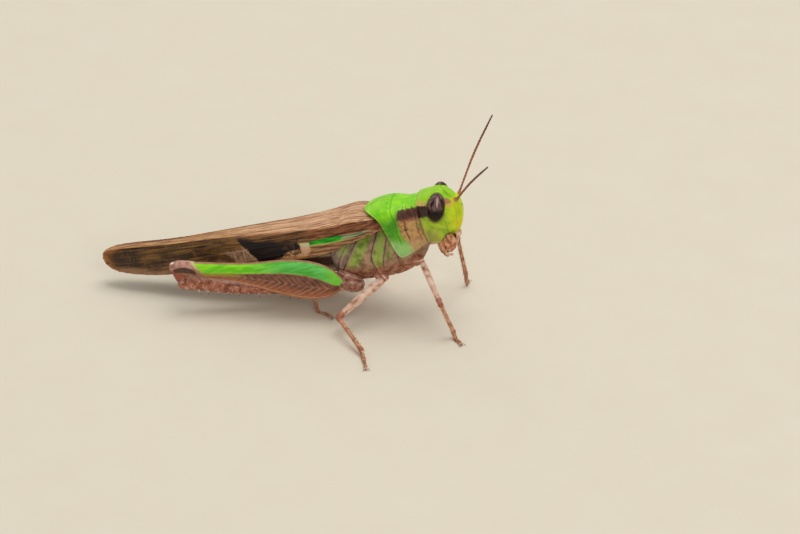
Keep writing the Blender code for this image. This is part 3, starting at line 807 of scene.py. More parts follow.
def shellGrid():
    arch = curve(shell["arch"], shell["columns"] // 2 + 1)
    rows = []
    for share in np.linspace(0.0, 1.0, shell["rows"]):
        along = arch[:, 2] + (shell["front"] - arch[:, 2]) * share
        half = readTable(shell["sizes"], along, 1)
        crest = readTable(shell["sizes"], along, 2)
        up = crest + (readTable(shell["lower"], share) - crest) * arch[:, 1]
        right = np.stack([along, -half * arch[:, 0], up], axis=1)
        rows.append(np.concatenate([right[::-1], mirrored(right, -1.0)[1:]]))
    return np.array(rows)


def grooveMask(along, up):
    found = np.zeros(along.shape)
    for at, low, high, share in shell["grooves"]:
        bend = at - 0.18 * rise(up, 2.0, 3.6) + 0.06 * np.sin(3.0 * up)
        reach = rise(up, low, low + 0.3) * fall(up, high - 0.2, high)
        found += share * hump(along - bend, 0.05) * reach
    return np.clip(found, 0.0, 1.0)


def shellLook():
    look = Look("pronotumShell")
    along, side, up, skin = look.places()
    width = abs(side)
    mottle = look.noise(skin, 1.1, 4.0)
    blotch = look.noise(skin, 2.6)
    grain = look.noise(skin, 13.0)
    ragged = look.noise(look.vector(along * 5.5, side, up * 0.9), 1.7, 3.0, 0.7) - 0.5
    disc = mottle.tones(0.35, 0.65, "74ce04", "a0e80e")
    look.colour = mottle.tones(0.35, 0.65, "429604", "68be0e")
    look.coat((up + (blotch - 0.5) * 0.6).rise(2.5, 3.3), disc)
    lobe = (up + (along - 5.0) * 0.5).fall(0.4, 1.3)
    look.coat(lobe * 0.75, blotch.between("8aca60", "c4e49e"))
    rust = (along - up * 0.1).fall(3.75, 4.2) * up.fall(2.5, 3.1) * up.rise(0.4, 1.2)
    look.coat(rust * 0.5, "9e682c")
    # Tan patch on the side, ahead.
    patchEdge = 5.52 + (blotch - 0.5) * 0.8 + up.fall(0.0, 1.3) * 0.45
    tan = blotch.tones(0.36, 0.62, "9c6c3c", "d0a064")
    tan = tan.coat(grain.rise(0.5, 0.75) * 0.35, "8c923e")
    tan = tan.coat(up.fall(0.3, 1.0) * 0.6, "cca676")
    look.coat(along.rise(patchEdge - 0.16, patchEdge + 0.2) * up.fall(2.5, 2.9), tan)
    look.coat(up.within(1.55, 2.1, 0.2) * along.rise(6.75, 6.95) * 0.5, "7e963c")
    # The dark band that runs on from the head, with a red foot.
    bandRear = 5.42 + (up - 2.8) * 0.2
    bandTop = 3.3 + ragged * 0.9
    outer = width.rise(0.9, 1.1)
    band = (along + ragged * 0.3).rise(bandRear - 0.12, bandRear + 0.22) * outer
    band = band * up.rise(2.42 + ragged * 0.5, 2.72 + ragged * 0.5)
    band = band * up.fall(bandTop - 0.02, bandTop + 0.12)
    dark = grain.tones(0.35, 0.65, "381410", "68342a")
    red = up.within(2.3, 2.75, 0.14) * along.rise(5.5, 5.9) * outer
    look.coat(red * 0.65, grain.between("783c34", "9c5c50"))
    look.coat(band, dark)
    # Keels, grooves and margins.
    look.coat(side.line(0.0, 0.1) * 0.5 * up.rise(3.0, 3.3), "baec50")
    look.coat(look.measure("sideKeel") * 0.45, "b0f046")
    inPatch = along.rise(5.5, 5.7) * up.fall(3.0, 3.2)
    look.coat(look.measure("groove") * inPatch.lean(0.45, 0.8), inPatch.between("469606", "542c1c"))
    spot = along.line(5.98, 0.26) * up.line(1.62, 0.1) * width.rise(1.0, 1.2)
    look.coat(spot * 0.85, "341a12")
    rim = look.measure("rim")
    foot = up.fall(0.5, 1.1)
    rimColour = up.tones(1.0, 2.6, "ba783e", "96d832").coat(along.rise(5.6, 6.2), "968046")
    rimColour = rimColour.coat(foot, along.tones(5.2, 6.6, "d8dea0", "d6b082"))
    look.coat(rim * foot.lean(0.5, 0.85), rimColour)
    look.coat(rim * up.within(2.45, 3.34, 0.1) * along.rise(6.8, 7.0), dark)
    pits = look.cells(skin, 5.5)
    look.coat(pits.fall(0.16, 0.34) * along.fall(5.0, 5.3) * 0.18, "286004")
    height = grain * 0.5 + pits.rise(0.1, 0.4) * along.fall(5.0, 5.4)
    return look.finish(0.36 + mottle * 0.14, height)


def buildShell():
    grid = shellGrid()
    along, side, up = np.moveaxis(grid, -1, 0)
    arch = np.abs(np.linspace(-1.0, 1.0, grid.shape[1]))
    lengthwise = np.linspace(0.0, 1.0, len(grid))[:, None]
    groove = grooveMask(along, up)
    sideKeel = hump(arch - 0.27, 0.018) * (0.3 + 0.7 * rise(lengthwise, 0.5, 0.9)) * (1.0 - groove)
    rim = np.maximum(fall(lengthwise, 0.008, 0.03), rise(lengthwise, 0.972, 0.99))
    rim = np.maximum(rim, rise(arch, 0.965, 0.985))
    relief = shell["crestHeight"] * hump(side, 0.06) * (1.0 - 0.6 * groove)
    relief += 0.03 * sideKeel + 0.03 * rim - shell["grooveDepth"] * groove
    relief += 0.03 * hump(along - 6.45, 0.4) * rise(up, 0.6, 1.2) * fall(up, 3.0, 3.4)
    grid = raised(grid, relief, closed=False)
    grid[..., 2] = np.minimum(grid[..., 2], shell["highest"])
    mesh = newMesh("groove", "sideKeel", "rim")
    laySheet(mesh, onBody(grid), Vector((0.0, 0.0, 1.0)), groove=groove, sideKeel=sideKeel, rim=rim)
    bmesh.ops.solidify(mesh, geom=mesh.faces[:], thickness=shell["thickness"])
    finishPiece("pronotum_shell", mesh, shellLook(), ["pronotum"], 60.0)


# Thorax

chest = {
    "rings": 150,
    "around": 170,
    # Along, lowest, widest level, top, half widths below, at the widest, under the wings, on top.
    "sizes": [
        (-0.9, -2.2, -0.2, 2.3, 0.75, 1.5, 1.3, 0.7), (-0.4, -2.55, -0.3, 2.4, 0.95, 1.78, 1.45, 0.75),
        (0.6, -2.72, -0.3, 2.4, 1.05, 1.95, 1.4, 0.85), (1.9, -2.78, -0.3, 2.35, 1.1, 1.98, 1.28, 0.85),
        (3.1, -2.78, -0.3, 2.5, 1.1, 1.95, 1.1, 0.8), (4.1, -2.74, -0.3, 2.85, 1.05, 1.8, 1.05, 0.75),
        (4.9, -2.6, 0.1, 3.1, 0.95, 1.62, 1.3, 0.9), (5.7, -2.3, 0.3, 3.0, 0.85, 1.44, 1.3, 0.9),
        (6.4, -1.85, 0.5, 3.1, 0.75, 1.28, 1.2, 0.8), (7.0, -1.1, 0.8, 3.1, 0.65, 1.2, 1.15, 0.75),
        (7.3, -0.6, 1.0, 3.1, 0.55, 1.15, 1.1, 0.7),
    ],
    # Side seams: places up and along, how deep it is, and whether it has a raised edge.
    "seams": [
        ([(-1.5, -0.3), (-0.87, 0.05), (1.3, 1.6), (2.0, 2.1)], 1.0, True),
        ([(-1.9, 2.62), (-1.4, 2.56), (-0.2, 2.54), (1.15, 3.15), (2.0, 3.5)], 1.0, True),
        ([(-1.6, 3.25), (-0.94, 3.4), (1.07, 4.1), (2.0, 4.3)], 0.8, True),
        ([(-1.2, 1.9), (-0.5, 1.45), (0.6, 1.35), (1.6, 1.9)], 0.35, False),
        ([(-1.6, 4.6), (-0.6, 4.7), (0.4, 4.9)], 0.7, False),
        ([(-1.2, -0.62), (-0.5, -0.42), (0.3, 0.1), (0.9, 0.62)], 0.7, True),
        ([(-0.9, -0.2), (-0.3, 0.16), (0.3, 0.62), (0.8, 1.0)], 0.45, False),
        ([(0.1, -0.72), (0.6, -0.4), (1.2, 0.12), (1.6, 0.5)], 0.6, True),
    ],
    "undersideSeams": (-0.2, 2.0, 3.9, 5.6),
}


def chestRing(along, low, wide, top, below, widest, waist, crown):
    return bothSides([
        (along, 0.0, low),
        (along, 0.6 * below, low + 0.02),
        (along, below, low + 0.12),
        (along, 0.5 * (below + widest), low + 0.32 * (wide - low)),
        (along, 0.94 * widest, low + 0.66 * (wide - low)),
        (along, widest, wide),
        (along, 0.5 * (widest + waist), wide + 0.36 * (top - wide)),
        (along, 0.6 * waist + 0.4 * crown, wide + 0.64 * (top - wide)),
        (along, crown, top - 0.2),
        (along, 0.5 * crown, top - 0.03),
        (along, 0.0, top),
    ])


def seamMask(along, up, width, edgesOnly=False):
    found = np.zeros(along.shape)
    for places, share, edged in chest["seams"]:
        if edged or not edgesOnly:
            low, high = places[0][0], places[-1][0]
            ends = rise(up, low - 0.1, low + 0.1) * fall(up, high - 0.1, high + 0.1)
            found = np.maximum(found, share * hump(along - readTable(places, up), width) * ends)
    return found


def chestLook():
    look = Look("thoraxShell")
    along, side, up, skin = look.places()
    mottle = look.noise(skin, 1.7, 4.0)
    grain = look.noise(skin, 12.0)
    streak = look.noise(look.vector(along * 2.2, side, up * 0.7), 2.0)
    blotch = look.noise(skin, 2.8, 4.0, 0.6)
    look.colour = mottle.tones(0.35, 0.65, "8a664c", "b89676")
    look.coat(up.fall(-1.9, -0.9) * 0.85, blotch.tones(0.36, 0.62, "6c3826", "b87654"))
    look.coat((along - up * 0.7).fall(0.1, 0.9) * 0.7, mottle.between("826e66", "bca498"))
    speckle = (streak + grain * 0.4).rise(0.56, 0.84)
    greens = mottle.tones(0.36, 0.6, "688a1e", "9eba4a")
    look.coat(look.measure("greenPlate") * (1.0 - speckle * 0.35), greens)
    look.coat(look.measure("seam") * 0.9, "341a14")
    look.coat(look.measure("plateEdge") * 0.5, "ceb296")
    return look.finish(0.46 + mottle * 0.16, grain * 0.6 + mottle, shine=0.4)


def buildChest():
    grid = smoothed([chestRing(*row) for row in chest["sizes"]], chest["rings"], chest["around"])
    along, side, up = np.moveaxis(grid, -1, 0)
    flank = rise(np.abs(side), 0.75, 1.0)
    seam = seamMask(along, up, 0.05) * flank
    edge = seamMask(along - 0.13, up, 0.045, True) * flank * (1.0 - seam)
    relief = 0.05 * edge - 0.11 * seam
    relief += 0.06 * hump(along - (0.75 + 0.6 * up), 0.4) * hump(up + 0.1, 0.9) * flank
    relief += 0.05 * hump(along - 3.1 - 0.3 * up, 0.35) * hump(up + 0.1, 0.9) * flank
    underside = fall(up, -2.5, -2.1)
    for at in chest["undersideSeams"]:
        relief -= 0.06 * hump(along - at, 0.06) * underside
    relief -= 0.05 * hump(side, 0.05) * underside
    grid = raised(grid, relief)
    # The green plates lie between the seams.
    firstAt, secondAt, thirdAt = (readTable(chest["seams"][row][0], up) for row in range(3))
    first = rise(along, firstAt + 0.1, firstAt + 0.35) * fall(along, firstAt + 1.15, firstAt + 1.4)
    first *= rise(up + 0.5 * (along - firstAt), -1.0, -0.5) * rise(up, -1.3, -0.7)
    second = rise(along, secondAt + 0.05, secondAt + 0.25) * fall(along, thirdAt - 0.2, thirdAt)
    second *= rise(up, -1.5, -1.1)
    third = rise(along, thirdAt + 0.05, thirdAt + 0.25) * fall(along, thirdAt + 0.5, thirdAt + 0.9)
    third *= 0.6 * rise(up, -1.0, -0.6)
    patch = hump(along - firstAt + 0.75, 0.42) * rise(up, -0.1, 0.3)
    green = np.maximum.reduce([first, second, patch, third]) * flank
    mesh = newMesh("seam", "plateEdge", "greenPlate")
    layRings(mesh, onBody(grid), 3, 0.15, seam=seam, plateEdge=edge, greenPlate=green)
    finishPiece("thorax_plates", mesh, chestLook(), ["thorax"])


# Abdomen

belly = {
    "front": -1.0,
    "rear": -11.6,
    "plates": 9,
    "ringsEach": 16,
    "around": 120,
    "step": 0.045,
    # Along, height of its middle, half width and half height.
    "sizes": [
        (-11.6, 0.62, 0.42, 0.5), (-10.6, 0.55, 0.72, 0.88), (-9.0, 0.45, 0.9, 1.12),
        (-6.0, 0.3, 1.16, 1.45), (-3.5, 0.15, 1.36, 1.85), (-1.0, 0.05, 1.46, 2.15),
    ],
    "tailFeelerRings": 14,
    "tailFeeler": [(-11.2, 0.42, 0.85), (-11.5, 0.5, 0.84), (-11.9, 0.46, 0.78)],
    "valveRings": 24,
    # An upper and a lower pair: how far from the middle, and how far the tips bend.
    "valves": ((0.16, 0.16), (-0.16, -0.14)),
}


def bellyLook():
    look = Look("abdomenRings")
    along, side, up, skin = look.places()
    mottle = look.noise(skin, 1.5, 4.0)
    grain = look.noise(skin, 12.0)
    spots = look.noise(look.vector(along, side, up * 2.0), 2.2, 2.0)
    look.colour = mottle.tones(0.36, 0.64, "c4ac76", "d8c896")
    look.coat(up.rise(-0.5, 0.1), mottle.tones(0.36, 0.64, "84603e", "b08a60"))
    look.coat(up.within(-0.5, 0.7, 0.2) * spots.rise(0.52, 0.62) * 0.8, "4a2c1c")
    # Painted shade: the front of the flank, under the wings and behind the thorax, darkened almost to black
    # brown.
    paintedShade = along.rise(-5.6, -4.4) * up.rise(-1.4, -0.6)
    look.coat(paintedShade * 0.95, mottle.between("22100c", "563224"))
    look.coat(look.measure("edge") * 0.6, "5c3a26")
    look.coat(look.measure("fold") * 0.7, "d8ba8c")
    return look.finish(0.42 + mottle * 0.16, grain, 0.015)


def buildBelly():
    share = np.linspace(0.0, 1.0, belly["plates"] * belly["ringsEach"] + 1)
    along = belly["front"] + (belly["rear"] - belly["front"]) * share
    part = share * belly["plates"]
    part = part - np.floor(part)
    part[-1] = 1.0
    lip = rise(part, 0.0, 0.12) - rise(part, 0.93, 1.0) * 0.9
    middle, half, tall = (readTable(belly["sizes"], along, column) for column in (1, 2, 3))
    size = 1.0 - belly["step"] * (1.0 - lip * (0.3 + 0.7 * part))
    turn = np.linspace(0.0, 2.0 * math.pi, belly["around"], endpoint=False)
    sideways = (half * size)[:, None] * np.sin(turn)
    upward = middle[:, None] + (tall * size)[:, None] * np.cos(turn)
    grid = np.stack([along[:, None] + 0.0 * upward, sideways, upward], axis=-1)
    fold = hump(np.abs(turn - math.pi) - 0.62 * math.pi + 0.3, 0.05)
    relief = 0.02 * hump(np.minimum(turn, 2.0 * math.pi - turn), 0.06) - 0.05 * fold
    grid = raised(grid, relief[None, :])
    mesh = newMesh("edge", "fold")
    layRings(mesh, onBody(grid), 3, 0.3, edge=rise(part, 0.86, 0.95)[:, None], fold=fold)
    for side in (-1.0, 1.0):
        path = onBody(evenly(mirrored(belly["tailFeeler"], side), belly["tailFeelerRings"]))
        widths = 0.22 * (1.0 - np.linspace(0.0, 0.92, len(path)) ** 1.6)
        layRings(mesh, limbGrid(path, widths, widths, oval(14)), last=False)
    finishPiece("abdomen_rings", mesh, bellyLook(), ["abdomen"])


def buildValves():
    # The egg-laying valves, with hooked tips.
    mesh = newMesh("edge", "fold")
    share = np.linspace(0.0, 1.0, belly["valveRings"])
    taper = np.interp(share, [0.0, 0.55, 0.85, 1.0], [1.0, 0.86, 0.5, 0.1])
    for side in (-1.0, 1.0):
        for lift, hook in belly["valves"]:
            route = [(-11.4, 0.15, 0.55 + lift), (-12.0, 0.15, 0.55 + 0.9 * lift)]
            route += [(-12.45, 0.13, 0.55 + 0.7 * lift), (-12.8, 0.09, 0.55 + 0.7 * lift + hook)]
            path = onBody(evenly(mirrored(route, side), belly["valveRings"]))
            layRings(mesh, limbGrid(path, 0.27 * taper, 0.3 * taper, oval(20, 2.5)), last=False)
    look = mouthLook("valveShell", "966a42", "bc9264", "462818", -9.0)
    finishPiece("egg_laying_valves", mesh, look, ["ovipositor"])


print("shell, thorax and abdomen")
buildShell()
buildChest()
buildBelly()
buildValves()


# Wings

wings = {
    "rows": 420,
    "columns": 104,
    "thickness": 0.07,
    "veinHeight": 0.045,
    "netHeight": 0.022,
    "overlap": 0.5,  # how far the left wing lies over the right one
    # Along, top edge, half width at the shoulder, lower edge and half width there.
    "sizes": [
        (4.0, 3.0, 1.42, 2.0, 1.6), (3.3, 3.08, 1.6, 1.78, 1.72), (2.4, 3.19, 1.82, 1.56, 1.88),
        (1.6, 3.24, 1.9, 1.4, 1.98), (0.6, 3.13, 1.86, 1.16, 2.04), (-0.5, 3.0, 1.78, 0.86, 2.08),
        (-2.0, 2.9, 1.64, 0.62, 2.06), (-4.0, 2.87, 1.48, 0.56, 1.98), (-6.0, 2.89, 1.38, 0.54, 1.86),
        (-8.0, 2.89, 1.26, 0.53, 1.7), (-10.0, 2.92, 1.08, 0.53, 1.54), (-12.0, 2.95, 0.9, 0.52, 1.38),
        (-14.0, 2.97, 0.76, 0.46, 1.24), (-16.0, 3.06, 0.66, 0.54, 1.1), (-18.0, 3.2, 0.62, 0.86, 0.96),
        (-19.2, 3.22, 0.58, 1.18, 0.84), (-20.0, 3.14, 0.48, 1.52, 0.68), (-20.45, 3.0, 0.34, 1.84, 0.5),
        (-20.7, 2.86, 0.2, 2.12, 0.28), (-20.8, 2.66, 0.07, 2.4, 0.1),
    ],
    # Lines on the wing: places along, and the share of the way from the back edge to the lower edge.
    "backFieldEdge": [
        (4.0, 0.43), (0.0, 0.39), (-3.0, 0.33), (-6.6, 0.26), (-10.0, 0.19), (-14.0, 0.16),
        (-18.0, 0.15), (-21.0, 0.14),
    ],
    "veins": [
        [(4.0, 0.42), (0.0, 0.37), (-3.0, 0.31), (-6.6, 0.22), (-10.0, 0.1), (-12.8, 0.0)],
        [(4.0, 0.32), (0.0, 0.29), (-4.0, 0.21), (-8.0, 0.11), (-11.5, 0.0)],
        [(4.0, 0.22), (0.0, 0.2), (-4.0, 0.13), (-8.0, 0.04), (-10.0, 0.0)],
        [(4.0, 0.11), (0.0, 0.11), (-4.0, 0.05), (-7.0, 0.0)],
        [(4.0, 0.46), (0.0, 0.42), (-4.0, 0.37), (-8.0, 0.28), (-12.0, 0.17), (-16.0, 0.08), (-19.5, 0.0)],
        [(4.0, 0.5), (0.0, 0.47), (-5.0, 0.43), (-10.0, 0.34), (-15.0, 0.24), (-20.5, 0.12)],
        [(1.0, 0.51), (-5.0, 0.49), (-10.0, 0.42), (-15.0, 0.33), (-20.6, 0.26)],
        [(4.0, 0.56), (0.0, 0.55), (-5.0, 0.54), (-10.0, 0.52), (-15.0, 0.5), (-20.7, 0.46)],
        [(-9.0, 0.53), (-14.0, 0.6), (-20.6, 0.62)],
        [(-12.0, 0.58), (-16.0, 0.68), (-20.4, 0.78)],
        [(4.0, 0.62), (0.0, 0.63), (-6.0, 0.66), (-12.0, 0.72), (-17.0, 0.86), (-19.5, 1.0)],
        [(4.0, 0.7), (0.0, 0.76), (-5.0, 0.82), (-10.0, 0.9), (-14.0, 1.0)],
        [(3.0, 0.82), (-2.0, 0.91), (-6.0, 1.0)],
    ],
    "thickVeins": (0, 5, 7, 10),  # which of them
    "pleats": 9,
    "pleatDepth": 0.07,
    "fanRows": 120,
}


def wingGrid(side):
    # From the back edge over the shoulder to the lower edge.
    rows = []
    for along, top, shoulder, lower, flare in evenly(wings["sizes"], wings["rows"]):
        drop = top - 0.14
        reach, sink = 0.02, 0.05
        if side > 0.0:
            reach, sink = -wings["overlap"] * float(rise(shoulder, 0.36, 0.6)), 0.0
        profile = [
            (reach, top - 0.01 - sink),
            (0.55 * shoulder, top - 0.03),
            (max(shoulder - 0.2, 0.7 * shoulder), drop + 0.02),
            (shoulder - 0.01, drop - 0.2),
            (shoulder + 0.45 * (flare - shoulder), drop + 0.4 * (lower - drop)),
            (shoulder + 0.85 * (flare - shoulder), drop + 0.78 * (lower - drop)),
            (flare, lower),
        ]
        rows.append([(along, place * side, up) for place, up in profile])
    return curve(np.array(rows).swapaxes(0, 1), wings["columns"]).swapaxes(0, 1)


def readLine(line, along):
    ends, shares = np.array(line)[::-1].T
    return np.interp(along, ends, shares)


def stripes(values, width):
    # Evenly spaced lines, one at every whole number.
    return hump(values - np.round(values), width)


def wingVeins(along, across):
    # Lengthwise veins, and the cross veins that net the fields between them.
    length = np.zeros(along.shape)
    field = np.zeros(along.shape)
    for number, places in enumerate(wings["veins"]):
        at = readLine(places, along)
        front, rear = places[0][0], places[-1][0]
        there = rise(along, rear - 0.2, rear) * fall(along, front, front + 0.3)
        thick, share = (0.011, 1.0) if number in wings["thickVeins"] else (0.008, 0.75)
        length = np.maximum(length, hump(across - at, thick) * there * share)
        field += (across > at) * (there > 0.5) * (1.0 + 0.37 * number)
    spacing = 0.36 + 0.12 * np.sin(5.0 * field)
    beat = along / spacing + 7.3 * field + 0.3 * np.sin(2.3 * along + 1.7 * field)
    beat += 0.2 * np.sin(5.9 * along + field) + 1.6 * (across - 0.5) * np.sin(2.0 * field)
    net = stripes(beat, 0.045 / spacing) * (0.6 + 0.4 * np.sin(3.7 * along + 9.0 * field))
    weave = stripes(along / 0.9 + 24.0 * across, 0.05 / 0.3)
    return length, np.maximum(net, 0.4 * weave * rise(-along, 6.0, 9.0)) * (1.0 - length)


def wingLook():
    look = Look("wingMembrane")
    along, side, up, skin = look.places()
    mottle = look.noise(skin, 0.7)
    blotch = look.noise(look.vector(along * 0.5, side, up * 1.2), 1.5, 4.0)
    spots = look.noise(look.vector(along * 1.1, side, up * 1.5), 2.1)
    streaks = look.noise(look.vector(along * 0.08, side * 2.9, up * 2.9), 2.6, 4.0, 0.6)
    grain = look.noise(look.vector(along * 3.0, side * 8.0, up * 8.0), 1.6)
    ragged = blotch - 0.5
    spotted = spots - 0.5
    vein = look.measure("vein")
    net = look.measure("net")
    backShare = look.measure("backField") + (streaks - 0.5) * 0.8
    back = backShare.rise(0.34, 0.66)
    # Back field: tan with pale and brown streaks, golden to the front and orange at its edge.
    tan = streaks.tones(0.34, 0.66, "925834", "eec094")
    tan = tan.coat(grain.rise(0.55, 0.8) * 0.3, "f0d0a8")
    tan = tan.coat(grain.fall(0.3, 0.42) * 0.45, "744228")
    tan = tan.coat(along.fall(-12.0, -3.0) * 0.75, streaks.tones(0.36, 0.62, "70441e", "d09c5c"))
    tan = tan.coat(backShare.fall(0.58, 0.82) * 0.75, streaks.tones(0.36, 0.64, "8c4e26", "ce8a50"))
    # Side field behind the dark patch, and the golden part above it.
    dark = streaks.tones(0.38, 0.62, "2c1908", "7a5322")
    dark = dark.coat(grain.rise(0.56, 0.72) * 0.35, "b0803e")
    look.colour = blotch.tones(0.36, 0.64, "5e4026", "906a42")
    look.coat((up + ragged * 0.7).rise(1.2, 1.5), dark)
    golden = (along + ragged * 2.0).rise(-9.4, -7.6) * up.rise(1.4, 1.9)
    look.coat(golden, streaks.tones(0.38, 0.62, "3a200e", "9c6836"))
    slant = along + (up - 1.1) * 0.8
    pale = (slant + ragged * 1.6).within(-9.2, -7.3, 0.25) * (up + ragged * 0.5).within(0.6, 1.85, 0.2)
    look.coat(pale * 0.52, spots.tones(0.38, 0.6, "8e6244", "c69a76"))
    veinLine = slant.line(-7.44, 0.09) * (up + ragged * 0.3).within(0.8, 2.1, 0.15)
    look.coat(veinLine * 0.75, "cea27c")
    midShade = along.within(-17.8, -10.0, 0.8) * up.within(1.1, 2.5, 0.4)
    look.coat(midShade * blotch.fall(0.42, 0.6) * 0.7, "261507")
    # Dark patch, with the rusty edge and the freckles below it.
    patchTop = along.fall(-8.5, -4.5) * 0.6 + 2.02
    patchFoot = along.rise(-5.8, -4.0) * 0.86 + 0.48
    black = (slant + ragged * 0.7).rise(-7.42, -7.2) * (along + spotted * 1.1).fall(-3.34, -3.2)
    black = black * (up + spotted * 0.6).rise(patchFoot - 0.06, patchFoot + 0.06)
    black = black * (up + ragged * 0.9).fall(patchTop - 0.15, patchTop + 0.4)
    leopard = spots.rise(0.52, 0.6) * along.rise(-5.6, -4.6) + streaks.rise(0.56, 0.7) * 0.7
    look.coat(black, leopard.between("0e0403", "422614"))
    foot = up.fall(0.66, 0.98) * along.within(-5.2, -0.6, 0.5)
    look.coat(foot * 0.8, blotch.tones(0.4, 0.6, "965028", "ce8c52"))
    freckle = along.within(-4.9, -2.6, 0.3) * up.within(0.72, 1.5, 0.1) * spots.rise(0.48, 0.54)
    look.coat(freckle * (1.0 - black) * 0.9, "dca874")
    # Ahead of it: a green stripe, washed out forward, between reddish brown ones.
    ahead = along.rise(-2.5, -2.36)
    look.coat(ahead * 0.9, streaks.tones(0.38, 0.6, "421c0e", "9e5c38"))
    stripeAt = 1.9 + along * 0.06
    reach = 0.2 - (along + 0.1) * (along + 0.1) * 0.013
    stripeFoot = stripeAt - reach
    beneath = ahead * up.fall(stripeFoot - 0.06, stripeFoot)
    look.coat(beneath * 0.9, streaks.tones(0.4, 0.6, "704628", "be8c62"))
    crease = ahead * (up + along * 0.08).line(stripeFoot - 0.42, 0.07) * along.fall(0.6, 1.6)
    look.coat(crease * 0.6, "462012")
    olive = ahead * up.line(stripeFoot - 0.05, 0.1) * along.fall(0.4, 1.8)
    look.coat(olive * 0.85, "a8be54")
    green = (abs(up - stripeAt) - reach + ragged * 0.12).fall(-0.03, 0.03)
    green = ahead * along.fall(3.05, 3.2) * green
    greens = streaks.tones(0.35, 0.65, "067a06", "26c21a")
    greens = greens.coat(along.fall(-2.4, -1.5) * 0.6, "0a5408")
    washed = streaks.tones(0.38, 0.6, "527044", "a4b088")
    greens = greens.coat((along + ragged * 1.6).rise(0.3, 0.9), washed)
    look.coat(green * (1.0 - along.rise(1.6, 3.1) * 0.35), greens)
    cream = (along + spotted * 0.5).within(-3.2, -2.4, 0.07) * (up + ragged * 0.6).within(0.95, 1.84, 0.1)
    creamy = (up + along * 0.3).tones(0.45, 0.95, "d8a686", "d2d4a0")
    look.coat(cream * (1.0 - black) * 0.92, creamy)
    # Tip, lower hem, veins and back field.
    tipEnd = along - (up - 2.35) * (up - 2.35) * 0.5 + spotted
    look.coat(tipEnd.fall(-20.1, -18.6) * 0.8, spots.tones(0.36, 0.62, "783e16", "bc763a"))
    tip = tipEnd.within(-20.1, -17.4, 0.5) * (up + ragged * 0.6).within(1.5, 2.9, 0.25)
    look.coat(tip * 0.92, streaks.between("0c0502", "321c0c"))
    hem = (up - along.fall(-19.5, -15.5) * 0.8 + (streaks - 0.5) * 0.9).fall(0.6, 1.0)
    look.coat(hem * along.fall(-12.0, -9.0) * 0.55, grain.between("86583c", "c49676"))
    quiet = (1.0 - black * 0.94) * (1.0 - green * 0.9) * (1.0 - cream * 0.7)
    veined = (vein * 0.42 + net * along.fall(-8.4, -7.2) * 0.3) * quiet * blotch.rise(0.3, 0.6)
    look.coat(veined, mottle.between("8a6030", "c09256"))
    look.coat((vein * 0.5 + net) * pale * quiet * 0.6, "e2c0a0")
    look.coat(back, tan)
    look.coat(vein * back * 0.45, streaks.tones(0.4, 0.6, "e8c49e", "7c4e34"))
    look.coat(look.measure("rim") * 0.7, mottle.between("9c6434", "ce9a62"))
    return look.finish(0.42 + mottle * 0.2, grain * 0.4 + streaks * 0.6, 0.012, 0.35)


def buildWings():
    look = wingLook()
    for name, side in sides:
        grid = wingGrid(side)
        along = grid[..., 0]
        across = np.linspace(0.0, 1.0, wings["columns"])[None, :]
        length, net = wingVeins(along, across)
        back = np.clip(0.5 - (across - readLine(wings["backFieldEdge"], along)) / 0.3, 0.0, 1.0)
        rim = np.maximum(rise(across, 0.985, 0.995), fall(along, -20.72, -20.5))
        rim = np.maximum(rim, fall(across, 0.006, 0.02) * fall(along, -16.0, -14.0))
        net = net * fall(back, 0.3, 0.6)
        relief = wings["veinHeight"] * length + 0.02 * rim
        relief += wings["netHeight"] * net * (1.0 - 0.7 * rise(along, -8.4, -7.2))
        relief += 0.02 * np.sin(9.0 * across + 0.4 * along) * rise(across, 0.4, 0.5)
        grid = onBody(raised(grid, relief, closed=False))
        mesh = newMesh("vein", "net", "backField", "rim")
        laySheet(mesh, grid, Vector((0.0, side, 0.0)), vein=length, net=net, backField=back, rim=rim)
        made = finishPiece("tegmen_" + name, mesh, look, ["forewing_" + name], sheet=True)
        wall = made.modifiers.new("wall", "SOLIDIFY")
        wall.thickness = wings["thickness"] / metre
        wall.offset = -1.0


def buildHindWings():
    # The hind wings lie pleated like a closed fan under the forewings.
    look = Look("hindWingFan")
    along, side, up, _ = look.places()
    folds = look.noise(look.vector(along * 0.3, side * 3.0, up), 2.0)
    look.colour = folds.tones(0.35, 0.65, "705c46", "b2a080")
    sizes = evenly(wings["sizes"], wings["fanRows"])[6:-5]  # short of the forewings at both ends
    share = np.linspace(-1.0, 1.0, wings["pleats"] * 4 + 1)
    fold = wings["pleatDepth"] * (np.abs((share * wings["pleats"]) % 2.0 - 1.0) - 1.0)
    rings = []
    for row, (along, top, shoulder, *_) in enumerate(sizes):
        narrow = min(1.0, 0.25 + 0.12 * (len(sizes) - row))
        out = (shoulder - 0.22) * narrow * share
        ceiling = top - 0.2 + fold - 0.12 * share**2
        ground = top - 0.42 - 0.1 * narrow + fold - 0.16 * share**2
        ring = [(out, ceiling), (out[::-1], ground[::-1])]
        rings.append([(along, s, u) for places in ring for s, u in zip(*places)])
    mesh = newMesh()
    layRings(mesh, onBody(rings), 2, 0.4)
    made = look.finish(0.4 + folds * 0.2, folds, 0.01, 0.35)
    finishPiece("hind_wing_fan", mesh, made, (), 50.0)


# Legs

